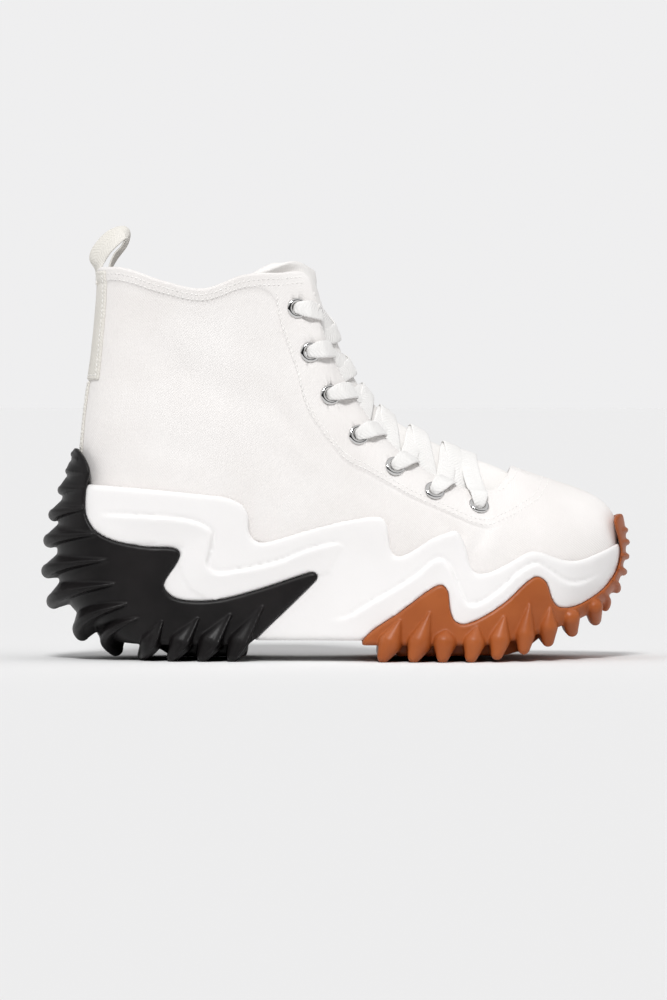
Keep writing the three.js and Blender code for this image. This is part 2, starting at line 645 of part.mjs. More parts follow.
// From inside the throat at one eyelet row up to the eyelet across from it in the next row.
function crossingStrap(lower, higher, side) {
  const edge = (t) => mix(lower.edge, higher.edge, t);
  return strap([
    overTongue(edge(0.43), side * 0.8, 2),
    overTongue(edge(0.5), side * 0.42, 2),
    overTongue(edge(0.58), 0, 2),
    overTongue(edge(0.76), side * -0.5, 2.4),
    overFacing(higher, 1, 2.6, -side),
    overFacing(higher, 0.45, 3, -side),
  ]);
}

function laceCross(lower, higher) {
  return crossingStrap(lower, higher, 1).add(crossingStrap(lower, higher, -1));
}

function laceBar(spot) {
  const half = (side) => [
    overFacing(spot, 0.45, 3, side),
    overFacing(spot, 1, 2.6, side),
    overTongue(spot.edge, side * 0.5, 2.4),
  ];
  return strap([...half(-1), overTongue(spot.edge, 0, 2), ...half(1).toReversed()]);
}

function pullLoop() {
  const points = PULL_TAPE.map(([x, z]) => new THREE.Vector2(x, z));
  const line = new THREE.SplineCurve(points).getPoints(22);
  const offset = (side) => line.map((point, i) => {
    const along = line[Math.min(i + 1, line.length - 1)].clone().sub(line[Math.max(i - 1, 0)]).normalize();
    const half = (side * LOOP.thickness) / 2;
    return [point.x - along.y * half, point.y + along.x * half];
  });
  return sidePrism([...offset(1), ...offset(-1).toReversed()], LOOP.width / 2);
}

// ---------------------------------------------------------------- the shoe
function swing(x) {
  const toe = SWING.toe * Math.max(0, (x - SWING.toeStart) / (LENGTH - SWING.toeStart)) ** 2;
  const waist = SWING.waist * Math.exp(-(((x - SWING.waistCentre) / SWING.waistSpread) ** 2));
  return toe - waist;
}

const shoe = new THREE.Group();

function place(name, body, material) {
  const geometry = geometryOf(body);
  const position = geometry.attributes.position;
  for (let i = 0; i < position.count; i += 1) position.setY(i, position.getY(i) + swing(position.getX(i)));
  geometry.computeVertexNormals();
  const mesh = new THREE.Mesh(geometry, material);
  mesh.name = name;
  shoe.add(mesh);
}

place("midsole", midsole(), WHITE_RUBBER);
place("outsole_heel", heelOutsole(), BLACK_RUBBER);
place("outsole_forefoot", forefootOutsole(), GUM_RUBBER);
place("insole", insole(), LINING);
place("upper", upper(), CANVAS);
place("tongue", tongue(), LINING);
place("pull_loop", pullLoop(), TAPE);
place("lace_bar", laceBar(eyeletSpots.at(-1)), LACE_WEAVE);
eyeletSpots.slice(1).forEach((lower, i) => {
  place(`lace_cross_${i + 1}`, laceCross(lower, eyeletSpots[i]), LACE_WEAVE);
});
for (const [label, side] of [["outer", -1], ["inner", 1]]) {
  eyeletSpots.forEach((spot, i) => place(`eyelet_${label}_${i + 1}`, eyelet(spot, side), NICKEL));
}

// The origin is on the floor under the middle of the shoe's box.
const box = new THREE.Box3().setFromObject(shoe, true);
const centre = box.getCenter(new THREE.Vector3());
shoe.position.set(-centre.x, -centre.y, -box.min.z);
shoe.updateMatrixWorld(true);

export default shoe;
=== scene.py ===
"""A canvas high-top platform sneaker for the right foot, finished around its CAD frame.

Shapes are worked out in millimetres in the shoe's own frame: x from the rearmost spike to the
toe, y even about 0 with the outer side at -y, and z up. to_frame then bends them to the inward
curve of the foot and moves them into the frame, in metres.
"""

import bpy
import numpy as np
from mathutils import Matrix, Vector


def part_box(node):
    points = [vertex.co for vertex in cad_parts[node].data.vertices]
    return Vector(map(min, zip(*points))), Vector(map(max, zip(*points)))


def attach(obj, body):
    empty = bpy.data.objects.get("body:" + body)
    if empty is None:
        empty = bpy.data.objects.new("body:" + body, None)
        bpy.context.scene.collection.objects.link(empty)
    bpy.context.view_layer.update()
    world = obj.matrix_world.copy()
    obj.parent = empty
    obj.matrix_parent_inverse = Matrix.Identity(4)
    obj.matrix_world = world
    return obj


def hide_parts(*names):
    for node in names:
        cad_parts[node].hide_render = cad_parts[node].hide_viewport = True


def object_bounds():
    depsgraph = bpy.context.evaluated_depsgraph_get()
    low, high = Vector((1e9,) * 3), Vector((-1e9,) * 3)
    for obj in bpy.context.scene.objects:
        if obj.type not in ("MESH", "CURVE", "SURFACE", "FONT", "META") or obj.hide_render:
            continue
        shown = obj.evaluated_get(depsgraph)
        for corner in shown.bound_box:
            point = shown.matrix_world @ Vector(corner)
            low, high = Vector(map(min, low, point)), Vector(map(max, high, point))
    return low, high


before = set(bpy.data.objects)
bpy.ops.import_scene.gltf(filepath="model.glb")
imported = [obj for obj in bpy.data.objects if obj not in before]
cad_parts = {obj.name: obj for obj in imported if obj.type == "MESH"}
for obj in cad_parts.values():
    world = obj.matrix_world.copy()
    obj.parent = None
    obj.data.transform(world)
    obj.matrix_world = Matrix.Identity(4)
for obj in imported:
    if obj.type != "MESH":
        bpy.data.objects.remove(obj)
cad_low, cad_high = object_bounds()

# ---------------------------------------------------------------- driving sizes
MM = 0.001
LENGTH = 300
WALL = 2.0
GAP = 0.35
SEAM_GAP = 0.06
INSOLE_THICKNESS = 4.0
TONGUE_THICKNESS = 3.0
OUTSOLE_PROUD = 1.8
OUTSOLE_SHELL = 3.0
FINE_CELL = 0.8
COARSE_CELL = 1.04
LACE = {"width": 9.4, "thickness": 1.3, "in_hole": 5.0}
EYELET = {"hole": 2.9, "barrel": 3.6, "flange": 5.3, "height": 1.3}
LOOP = {"width": 12.0, "thickness": 1.6}

# The foot's inward curve: the toe swings to the inner side and the waist to the outer side.
SWING = {"toe": 11, "toe_start": 165, "waist": 3, "waist_centre": 140, "waist_spread": 45}

# Height of the footbed along the foot: columns x, z.
FOOTBED = np.array([
    (0, 71), (60, 70), (100, 62), (140, 51), (180, 42.5), (217, 38.5), (250, 40.5), (275, 45), (300, 51.5),
], float)

# The sole seen from above, half of it, from the heel's back to the toe: columns x, y.
SOLE_OUTLINE = np.array([
    (10, 0), (13.5, 14.5), (24.5, 27), (45, 35), (72, 37.5), (105, 37), (138, 38), (170, 42.5),
    (200, 47), (226, 48), (250, 44.5), (270, 37), (284.5, 25.5), (293.5, 13), (296.5, 0),
], float)
SOLE_END = len(SOLE_OUTLINE) - 1

# How far the sole's wall reaches at each height: columns z, back, front, flare.
SOLE_LEVELS = np.array([
    (-2, 62, 262, 1.05), (8.7, 41, 268, 1.05), (16.4, 30.4, 276, 1.04), (27, 16.5, 286, 1.03),
    (40, 10.6, 293, 1.01), (54, 10, 296.2, 0.99), (66, 10.2, 296, 0.985), (84, 13, 292, 0.96),
    (108, 19, 280, 0.92),
], float)
SOLE_ENDS = SOLE_OUTLINE[[0, -1], 0]
STRETCH = {"heel": 85, "toe": 225}

# Outlines from the side, in x and z, drawn clockwise and carried across the shoe.
MIDSOLE_SIDE = [
    (4, 89.5), (25.7, 88.8), (54, 86.8), (80.5, 84.4), (94.8, 82.8), (102.9, 79.3), (106, 74.2),
    (106.6, 64), (111, 60), (117, 60.6), (137.4, 67.1), (157.8, 71.8), (174, 72.2), (178, 56),
    (180.8, 53.1), (189.4, 56.7), (197, 61.7), (206.6, 65.3), (210.2, 66.3), (215.2, 58.2), (217.8, 48.1),
    (220.3, 44.8), (225.8, 44.8), (235.5, 49.1), (248.1, 55.4), (253.2, 54.9), (263.8, 51.1),
    (272.4, 50.6), (283, 54.3), (295.6, 59.7), (305, 59.7), (305, 52), (287, 32), (262, 20), (238, 13.5),
    (215, 10.6), (4, 10.6),
]
HEEL_SIDE = [
    (18.4, 106.9), (25.7, 95.3), (24.2, 89), (23.3, 82.2), (23.7, 73.5), (28.1, 65.8), (36.8, 61),
    (53.3, 57.6), (69.7, 56.4), (71.6, 54.2), (63.4, 39.7), (63.4, 36.8), (68.7, 31.9), (80.4, 30.2),
    (92, 31.2), (111.3, 36.3), (134.5, 44), (138.9, 45), (140.8, 43), (140.4, 41.6), (108.4, 10.6),
    (105.5, 7.5), (103, -5), (-4, -5), (-4, 106.9),
]
FOREFOOT_SIDE = [
    (162.9, 9.6), (183, 25.7), (199.8, 37.9), (203.1, 38.8), (205.9, 36), (207.3, 25.7), (209.2, 21),
    (212.9, 19), (219.5, 20.6), (234.4, 29.5), (245.7, 39.8), (250.8, 42.8), (255.5, 40.2), (258.7, 31.4),
    (261.6, 27.4), (266.2, 26.7), (271.9, 27.8), (279.3, 31.4), (285.9, 36), (292.4, 44.5), (294.6, 53.8),
    (293.6, 60.2), (291.5, 72), (304, 72), (304, -5), (165, -5),
]
BODY_SIDE = [
    (-4, 120), (305, 120), (305, 46), (292, 34), (283, 25.5), (273, 20.5), (261, 16.5), (249, 13), (236, 10),
    (223, 8.3), (-4, 8.3),
]
CORE_SIDE = [
    (14, 84), (60, 78), (170, 45), (240, 38), (293, 50), (293, 46), (284, 36), (265, 26), (240, 20),
    (215, 15), (60, 15), (36, 22), (18, 34), (12, 52), (12, 74),
]

# The tread's middle rib, which fills the space behind the claws: its outline from the side.
HEEL_RIB = [(42, 24), (122, 26), (114, 2.2), (50, 2.2)]
FOREFOOT_RIB = [(170, 22), (264, 26), (252, 10), (236, 3), (182, 2.2)]
RIB_INSET = 11

# Grooves pressed into the midsole's side. Below each the rubber stands a little prouder.
GROOVES = [
    [(27.7, 74.2), (56.1, 73.2), (76.5, 71.2), (84.6, 68.1), (87.7, 65), (87, 56), (85.6, 48.8), (89.7, 45.1),
     (100.9, 46.2), (121.2, 50.8), (137.4, 57), (151.7, 59.6), (156.8, 54.9)],
    [(144.6, 21.8), (153.7, 22.4), (167.9, 30.5), (188.3, 42.7), (198.4, 50.8), (202.5, 52.3), (207.6, 47.8),
     (212.6, 35.6), (216.7, 29.5), (220.8, 29.5), (231, 35.6), (243.1, 46.2), (251.2, 49.4), (257.3, 45.8),
     (267.5, 39.7), (275.7, 40.3), (285.8, 44.7)],
]

# Claws of the tread: the tip (x, z), the apex (x, z) where the ridge fades, and half the width.
# Those that wrap round an end also have how much higher the root lies than the tip.
HEEL_SPIKES = [
    ((15.7, 102), (20.5, 101.5), 2.8, 1.2), ((12.2, 95.3), (24, 95), 3.6, 1.6),
    ((8.3, 85.6), (24, 87), 4.8, 2.2), ((3.6, 73), (27, 77), 6, 2.6), ((1, 60), (31, 64), 6.8, 3),
    ((0, 44.5), (36, 51), 7.4, 3.4), ((2.6, 29), (40, 39), 7.4, 6), ((17, 12.7), (46, 29), 8.6, 9),
    ((34, 5), (52, 22), 8, 9),
]
HEEL_CLAWS = [
    ((54.2, 0), (62.5, 20), 6.4), ((67.3, 0), (80.4, 21.5), 6.6),
    ((81.8, 0), (96.8, 23.5), 7), ((97, 0), (113, 27.6), 6.8),
]
FOREFOOT_CLAWS = [
    ((173, 0), (182.5, 21), 7), ((188.6, 0), (197.3, 24.8), 7.2), ((203.5, 0), (205.2, 15.8), 6.8),
    ((217.1, 0), (221, 17.6), 6.4), ((229.7, 1.5), (234.4, 23), 6.2), ((242.8, 4), (246.8, 29), 6),
    ((254.5, 7.5), (257, 27.2), 5.8), ((266.7, 12), (266.9, 24.5), 5.6), ((278.4, 17), (278.6, 28.5), 5),
]
TOE_CLAWS = [
    ((289.5, 25.8), (284, 34), 4, 2), ((295.3, 34.9), (288, 40.7), 3.8, 1.4),
    ((298.6, 43.7), (291, 46), 3.4, 0.8), ((299.8, 51.6), (293, 52.5), 3, 0.4),
    ((300, 58.9), (294, 59.2), 2.8, 0), ((299.2, 65), (294, 65.2), 2.4, 0),
]

# The upper in columns from the sole's edge to the collar or throat edge, from the heel's back to
# the toe: feather (x, y), two points that steer the curve (x, y, z), and the edge (x, y, z).
UPPER = np.array([
    (23.5, 0, 13, 0, 105, 30, 0, 150, 29.3, 0, 197.2),
    (28, 13.5, 19.5, 15.5, 105, 33.5, 13, 150, 33, 12, 197.6),
    (39.5, 24, 35, 27, 106, 43, 21.5, 150, 44, 21.5, 196.8),
    (58, 30, 56, 33, 107, 61, 25.5, 150, 62.5, 27.5, 190.5),
    (80, 32, 79, 35, 103, 83, 26.5, 148, 83, 29, 186.5),
    (102, 32, 102, 35.5, 98, 105, 27, 147, 103, 28.5, 193.2),
    (124, 33, 125, 36.2, 90, 122, 27.9, 146, 120.5, 25, 194.5),
    (147, 35, 149, 39, 82, 141, 29.4, 143, 135.8, 17.5, 193.2),
    (158, 36, 160, 40.2, 77.5, 151, 31.2, 131, 142, 17.8, 170),
    (169, 37.5, 172, 41.8, 73, 161, 33, 120, 149.5, 18.5, 149.5),
    (190, 41, 193, 45, 64, 182, 37, 101, 171.5, 21, 115.5),
    (210, 43.5, 213, 47, 57, 203, 40, 88, 193.5, 23, 97),
    (229, 43.5, 231, 46.5, 55, 224, 39, 80, 213, 24, 87),
    (247, 40, 249, 43, 57, 241, 33, 78, 229, 20.5, 86),
    (264, 34, 267, 36.5, 62, 256, 24.5, 80, 236.5, 13, 92),
    (279, 24.5, 283, 26, 70, 267, 15, 82.5, 239, 6.5, 96.4),
    (289, 13, 294.5, 13.5, 81, 274.5, 7.5, 83, 239.6, 3.2, 97.6),
    (292.5, 0, 298.5, 0, 87, 278, 0, 83, 239.8, 0, 98),
], float)
UPPER_FLIP = np.array([1, -1, 1, -1, 1, 1, -1, 1, 1, -1, 1], float)
TOE = len(UPPER) - 1

# The tongue in rows from its top to its end under the vamp: columns side and sideUp (inside the
# upper), facing and facingUp (under the facing's edge), and the crest's x and z.
TONGUE = np.array([
    (4.85, 0.99, 6.3, 1.044, 137.4, 198.4), (5.5, 0.93, 7.3, 1.02, 141.5, 184),
    (6.1, 0.87, 8, 1.03, 147.5, 168), (7.3, 0.85, 9.1, 1.03, 157.5, 145.5),
    (9.2, 0.85, 10.1, 1.03, 172, 126.5), (10.4, 0.84, 11.1, 1.03, 192, 114),
    (11.6, 0.83, 12.2, 1.03, 212, 104.5), (12.8, 0.82, 13.2, 1, 230, 98),
    (13.7, 0.82, 14.3, 0.92, 243, 91.8), (14.3, 0.8, 15, 0.86, 251, 87.8),
], float)

# Eyelet centres from the side, from the collar down to the vamp: columns x, z.
EYELETS = [
    (130.3, 177.8), (137, 155.5), (147.2, 134.1), (161.5, 113.9), (179.7, 98), (199.6, 85.8), (222, 78.5),
]

# The panel line of eyestay and vamp, from the collar down and over the toe: columns x, z.
PANEL_LINE = [
    (119.2, 181.9), (122.2, 169.4), (130.3, 145.3), (135.4, 127.1), (141.5, 116.9), (147.6, 108.8),
    (157.8, 98.6), (170, 92.5), (184.2, 84.4), (205, 75), (225.3, 67.3), (235, 70.3), (245, 75.4),
]

# The pull loop of folded tape, from outside the collar over the top and down inside it: columns
# x, y, z and how far its face is turned to the outer side, in degrees.
PULL_LOOP = np.array([
    (28.6, 0, 190, 0), (29, 0, 197, 12), (28.6, -1, 203, 46), (32, -2, 209, 52), (37.4, -1.6, 214.2, 50),
    (41.6, -0.4, 216.6, 34), (44, 0.8, 214.4, 12), (42.2, 1.6, 209.6, 8), (38, 1.4, 204.4, 10),
    (35.4, 0.6, 199, 4), (34.6, 0, 194, 0), (34.3, 0, 188, 0),
], float)


# ---------------------------------------------------------------- curves through tables
def bell(value, width):
    """1 where the value is 0, falling away smoothly over the width."""
    return np.exp(-((value / width) ** 2))


def smooth_step(low, high, value):
    t = np.clip((value - low) / (high - low), 0, 1)
    return t * t * (3 - 2 * t)


def mix(start, end, t):
    return start + (end - start) * t


def unit(vectors):
    return vectors / (np.linalg.norm(vectors, axis=-1, keepdims=True) + 1e-12)


def far_on_line(points):
    """Distance along a broken line at each of its points."""
    return np.concatenate([[0], np.cumsum(np.linalg.norm(np.diff(points, axis=0), axis=1))])


def between(a, b, c, d, t):
    """The place between b and c on a Catmull-Rom curve through four points."""
    slope, next_slope = (c - a) / 2, (d - b) / 2
    bend = 3 * (c - b) - 2 * slope - next_slope
    twist = 2 * (b - c) + slope + next_slope
    return b + t * (slope + t * (bend + t * twist))


def folded(station, end):
    """A station's twin on the outer side, and the sign of y on its own side."""
    inner = station > end
    return np.where(inner, 2 * end - station, station), np.where(inner, 1.0, -1.0)


def spline(rows, flips, station):
    """Catmull-Rom through table rows, which repeat across y = 0 past either end."""
    last = len(rows) - 1
    station = np.asarray(station, float)
    start = np.clip(np.floor(station).astype(int), 0, last - 1)
    start = np.where(station < 0, np.floor(station).astype(int), start)
    t = (station - start)[..., None]

    def row(index):
        inside = np.abs(np.where(index > last, 2 * last - index, index))
        sign = np.where((inside == index)[..., None], 1.0, flips)
        return rows[inside] * sign

    return between(*(row(start + step) for step in (-1, 0, 1, 2)), t)


def smooth_line(points, spacing=1.0, closed=False, straight=30):
    """Points about spacing apart along a centripetal Catmull-Rom curve through the given ones.

    A stretch longer than straight runs straight.
    """
    points = np.asarray(points, float)
    if closed:
        padded = np.concatenate([points[-1:], points, points[:2]])
    else:
        ends = 2 * points[[0, -1]] - points[[1, -2]]
        padded = np.concatenate([ends[:1], points, ends[1:]])
    line = []
    for p0, p1, p2, p3 in zip(padded, padded[1:], padded[2:], padded[3:]):
        k0, k1, k2 = (np.sqrt(np.linalg.norm(b - a)) + 1e-9 for a, b in ((p0, p1), (p1, p2), (p2, p3)))
        m1 = p2 - p1 + k1 * ((p1 - p0) / k0 - (p2 - p0) / (k0 + k1))
        m2 = p2 - p1 + k1 * ((p3 - p2) / k2 - (p3 - p1) / (k1 + k2))
        if np.linalg.norm(p2 - p1) > straight:
            m1 = m2 = p2 - p1
        count = max(2, int(np.ceil(np.linalg.norm(p2 - p1) / spacing)))
        t = np.linspace(0, 1, count, endpoint=False)[:, None]
        bend, twist = 3 * (p2 - p1) - 2 * m1 - m2, 2 * (p1 - p2) + m1 + m2
        line.append(p1 + t * (m1 + t * (bend + t * twist)))
    return np.concatenate(line if closed else line + [points[-1:]])


def even_line(points, spacing):
    """Points the same distance apart along a broken line."""
    far = far_on_line(points)
    places = np.linspace(0, far[-1], max(2, int(round(far[-1] / spacing)) + 1))
    return np.stack([np.interp(places, far, points[:, axis]) for axis in range(points.shape[1])], -1)


def easing(reach, step, spread):
    """Weights that smooth a row of values this step apart, over reach of them to either side."""
    places = np.arange(-reach, reach + 1) * step
    taps = np.exp(-0.5 * (places / spread) ** 2)
    return taps / taps.sum()


def soft_column(rows, column, value, spread=3.0):
    """A table's column at a height, straight from row to row with its corners eased."""
    fine = np.arange(rows[0, 0] - 12, rows[-1, 0] + 12, 0.5)
    line = np.interp(fine, rows[:, 0], rows[:, column])
    taps = easing(24, 0.5, spread)
    eased = np.convolve(np.pad(line, 24, mode="edge"), taps, mode="valid")
    return np.interp(value, fine, eased)


def footbed(x):
    return soft_column(FOOTBED, 1, x)


# ---------------------------------------------------------------- the upper's form
def upper_surface(station, up):
    """Stations run from 0 at the heel's back along the outer side to TOE and back along the inner side."""
    station, up = np.broadcast_arrays(np.asarray(station, float), np.asarray(up, float))
    twin, side = folded(station, TOE)
    row = spline(UPPER, UPPER_FLIP, twin)
    feather = np.stack([row[..., 0], row[..., 1], footbed(row[..., 0])], -1)
    low_steer, high_steer, edge = row[..., 2:5], row[..., 5:8], row[..., 8:11]
    s, t = (1 - up)[..., None], up[..., None]
    point = s ** 3 * feather + 3 * s * s * t * low_steer + 3 * s * t * t * high_steer + t ** 3 * edge
    point[..., 1] *= side
    return point


def upper_normal(station, up):
    step = 0.02
    along = upper_surface(station + step, up) - upper_surface(station - step, up)
    rising = upper_surface(station, up + step) - upper_surface(station, up - step)
    return unit(np.cross(along, rising))


def upper_point(station, up, proud=0.0):
    return upper_surface(station, up) + upper_normal(station, up) * np.asarray(proud)[..., None]


def find_on_upper(x, z, rounds=14):
    """The station and height on the outer side where the upper has this x and z from the side.

    Each round looks over a smaller stretch, round the best place of the one before.
    """
    centre, reach = np.array([9.0, 0.75]), np.array([6.0, 0.3])
    for _ in range(rounds):
        steps = np.linspace(-1, 1, 13)
        station = centre[0] + reach[0] * steps[:, None]
        up = np.clip(centre[1] + reach[1] * steps[None, :], 0, 1)
        point = upper_surface(station, up)
        far = np.hypot(point[..., 0] - x, point[..., 2] - z)
        i, j = np.unravel_index(np.argmin(far), far.shape)
        centre = np.array([station[i, 0], up[0, j]])
        reach = reach * 0.6
    return centre


def nearest_edge(spot):
    """The station where the throat's edge comes nearest to a place on the upper."""
    stations = np.linspace(7, 14, 561)
    far = np.linalg.norm(upper_surface(stations, 1.0) - upper_surface(*spot), axis=-1)
    return stations[np.argmin(far)]


# Each eyelet's station, its height and the station of the throat's edge beside it.
EYELET_SPOTS = [(*spot, nearest_edge(spot)) for spot in (find_on_upper(x, z) for x, z in EYELETS)]


# ---------------------------------------------------------------- the sole's form
def sole_plan(station):
    """The sole's outline at a station, from 0 at the heel's back along the outer side to the toe."""
    twin, side = folded(np.asarray(station, float), SOLE_END)
    point = spline(SOLE_OUTLINE, np.array([1, -1.0]), twin)
    point[..., 1] *= side
    return point


def stretched(x, ends, new_ends):
    """x with the sole's ends moved and the stretch between heel and toe left as it is."""
    heel, toe = STRETCH["heel"], STRETCH["toe"]
    behind = heel - (heel - x) * (heel - new_ends[0]) / (heel - ends[0])
    ahead = toe + (x - toe) * (new_ends[1] - toe) / (ends[1] - toe)
    return np.where(x < heel, behind, np.where(x > toe, ahead, x))


def sole_wall(station, z, proud):
    """A point of the sole's wall at a height, moved outward by proud."""
    step = 0.05
    point = sole_plan(station)
    along = unit(sole_plan(station + step) - sole_plan(station - step))
    back, front, flare = (soft_column(SOLE_LEVELS, column, z) for column in (1, 2, 3))
    x = stretched(point[..., 0], SOLE_ENDS, (back, front))
    return np.stack([x + along[..., 1] * proud, point[..., 1] * flare - along[..., 0] * proud, z + 0 * x], -1)


def sole_station(x, z):
    """The station on the outer side where the sole's wall has this x."""
    low, high = 0.0, float(SOLE_END)
    for _ in range(30):
        middle = (low + high) / 2
        if sole_wall(middle, z, 0.0)[0] < x:
            low = middle
        else:
            high = middle
    return (low + high) / 2


class Block:
    """A grid of points over one half of the shoe, y >= 0, for working out solid forms."""

    def __init__(self, cell, low_x, high_x, low_z, high_z, half_width=64):
        self.cell = cell
        self.low = np.array([low_x, 0, low_z], float)
        self.x = np.arange(low_x, high_x, cell, dtype=np.float32)
        self.y = np.arange(0, half_width, cell, dtype=np.float32)
        self.z = np.arange(low_z, high_z, cell, dtype=np.float32)
        self.shape = (len(self.x), len(self.y), len(self.z))

    def grids(self, window=(slice(None),) * 3):
        return self.x[window[0], None, None], self.y[None, window[1], None], self.z[None, None, window[2]]


def evened(field, cell):
    """A field divided by its own steepness, so that its values come close to true distances."""
    steep = np.sqrt(sum(part ** 2 for part in np.gradient(field, cell)))
    return field / np.maximum(steep, 0.15)


def outline_table():
    """Distance from the sole's outline over a plan of it, at whole millimetres."""
    line = sole_plan(np.arange(0, SOLE_END + 0.01, 0.04)) * [1, -1]
    along = unit(np.gradient(line, axis=0))
    outward = np.stack([-along[:, 1], along[:, 0]], -1)
    x, y = np.meshgrid(np.arange(-40, 341), np.arange(0, 90), indexing="ij")
    spot = np.stack([x, y], -1).reshape(-1, 2)
    near = np.argmin(np.hypot(spot[:, None, 0] - line[:, 0], spot[:, None, 1] - line[:, 1]), axis=1)
    return np.sum((spot - line[near]) * outward[near], axis=1).reshape(x.shape).astype(np.float32)


OUTLINE_TABLE = outline_table()


def wall_field(block):
    """Distance outward from the sole's wall."""
    x, y, z = block.grids()
    back, front, flare = (soft_column(SOLE_LEVELS, column, z) for column in (1, 2, 3))
    plan_x = stretched(x, (back, front), SOLE_ENDS) + 0 * y
    plan_y = y / flare + 0 * x
    u = np.clip(plan_x + 40, 0, OUTLINE_TABLE.shape[0] - 1.01)
    v = np.clip(plan_y, 0, OUTLINE_TABLE.shape[1] - 1.01)
    i, j = u.astype(int), v.astype(int)
    u, v = u - i, v - j
    table = OUTLINE_TABLE
    low = table[i, j] * (1 - v) + table[i, j + 1] * v
    high = table[i + 1, j] * (1 - v) + table[i + 1, j + 1] * v
    return evened((low * (1 - u) + high * u).astype(np.float32), block.cell)


def side_field(block, points, ease=1.0):
    """Distance outward from an outline seen from the side, carried across the shoe."""
    line = smooth_line(points, 2.0, closed=True)
    x, z = np.meshgrid(block.x, block.z, indexing="ij")
    near = np.full(x.shape, 1e9)
    inside = np.zeros(x.shape, bool)
    for (x1, z1), (x2, z2) in zip(line, np.roll(line, -1, axis=0)):
        span = (x2 - x1) ** 2 + (z2 - z1) ** 2 + 1e-9
        t = np.clip(((x - x1) * (x2 - x1) + (z - z1) * (z2 - z1)) / span, 0, 1)
        near = np.minimum(near, (x - x1 - t * (x2 - x1)) ** 2 + (z - z1 - t * (z2 - z1)) ** 2)
        if z1 != z2:
            inside ^= ((z1 > z) != (z2 > z)) & (x < (x2 - x1) * (z - z1) / (z2 - z1) + x1)
    field = np.sqrt(near) * np.where(inside, -1, 1)
    reach = int(np.ceil(3 * ease / block.cell))
    taps = easing(reach, block.cell, ease)
    wide = np.pad(field, reach, mode="edge")
    wide = np.apply_along_axis(np.convolve, 0, wide, taps, mode="valid")
    return np.apply_along_axis(np.convolve, 1, wide, taps, mode="valid").astype(np.float32)[:, None, :]


def seat_field(block):
    """Distance outward from the space that the upper and the gap around it fill."""
    stations = np.linspace(0, TOE, 500)
    heights = np.linspace(0, 0.62, 160)
    wall = upper_point(stations[:, None], heights, GAP)
    x, y, z = block.grids()
    half = np.empty((len(block.x), len(block.z)), np.float32)
    for k, height in enumerate(block.z):
        ups = np.array([np.interp(height, column[:, 2], heights) for column in wall])
        ring = upper_point(stations, ups, GAP)
        ring_x = np.maximum.accumulate(ring[:, 0])
        inside = np.interp(block.x, ring_x, -ring[:, 1])
        short = np.maximum(ring_x[0] - block.x, block.x - ring_x[-1])
        half[:, k] = np.where(short > 0, -short, inside)
    aside = evened(y - half[:, None, :], block.cell)
    return np.maximum(aside, soft_column(FOOTBED, 1, x).astype(np.float32) - GAP - z)


def meet(a, b, round_by):
    """Where both forms are, with the edge between them rounded."""
    ease = np.maximum(round_by - np.abs(a - b), 0) / round_by
    return np.maximum(a, b) + ease * ease * round_by / 4


def fuse(a, b, round_by):
    """Where either form is, with the corner between them filled."""
    return -meet(-a, -b, round_by)


def mean_crossings(field, cells):
    """The mean place, in cells, of the field's zeros on the edges of each cell."""
    corners = [np.array((i, j, k)) for i in (0, 1) for j in (0, 1) for k in (0, 1)]
    edges = [(a, b) for a in corners for b in corners if (b - a).min() >= 0 and (b - a).sum() == 1]
    total, hits = np.zeros((len(cells), 3)), np.zeros(len(cells))
    for a, b in edges:
        here, there = field[tuple((cells + a).T)], field[tuple((cells + b).T)]
        crossing = (here < 0) != (there < 0)
        share = np.where(crossing, here / (here - there + 1e-12), 0)[:, None]
        total += np.where(crossing[:, None], a + share * (b - a), 0)
        hits += crossing
    return cells + total / hits[:, None]


def net_quads(inside, index):
    """A quad between the four cells round every grid edge that the surface crosses."""
    quads = []
    for axis in range(3):
        one, two = np.eye(3, dtype=int)[(axis + 1) % 3], np.eye(3, dtype=int)[(axis + 2) % 3]
        before = one + two
        after = before + np.eye(3, dtype=int)[axis]
        size = np.array(index.shape) - before
        window = [inside[tuple(slice(o, o + s) for o, s in zip(origin, size))] for origin in (before, after)]
        node = np.argwhere(window[0] != window[1]) + before
        around = [node - one - two, node - two, node, node - one]
        faces = np.stack([index[tuple(cell.T)] for cell in around], -1)
        quads.append(np.where(inside[tuple(node.T)][:, None], faces, faces[:, ::-1]))
    return np.concatenate(quads)


def surface_nets(field, low, cell):
    """Vertices and quads where a field crosses zero. The field's inside is below zero."""
    inside = field < 0
    shape = np.array(field.shape) - 1
    count = np.zeros(shape, np.int8)
    for i, j, k in np.ndindex(2, 2, 2):
        count += inside[i:i + shape[0], j:j + shape[1], k:k + shape[2]]
    mixed = (count > 0) & (count < 8)
    cells = np.argwhere(mixed)
    index = np.full(shape, -1)
    index[mixed] = np.arange(len(cells))
    return low + mean_crossings(field, cells) * cell, net_quads(inside, index)


def sampled(grid, place):
    """A grid's values between its points, at places in cells."""
    place = np.clip(place, 0, np.array(grid.shape) - 1.001)
    i = place.astype(int)
    t = place - i
    value = 0
    for corner in np.ndindex(2, 2, 2):
        weight = np.prod(np.where(corner, t, 1 - t), axis=1)
        value = value + weight * grid[tuple((i + corner).T)]
    return value


def whole_form(block, field):
    """The form's surface on both sides of y = 0, moved onto the field's zero."""
    both = np.concatenate([field[:, :0:-1], field], axis=1)
    cell = block.cell
    low = block.low - [0, (field.shape[1] - 1) * cell, 0]
    vertices, quads = surface_nets(both, low, cell)
    slopes = np.gradient(both, cell)
    for _ in range(2):
        place = (vertices - low) / cell
        slope = np.stack([sampled(part, place) for part in slopes], -1)
        step = slope * (sampled(both, place) / np.maximum((slope ** 2).sum(1), 0.2))[:, None]
        vertices = vertices - np.clip(step, -0.4 * cell, 0.4 * cell)
    return vertices, quads


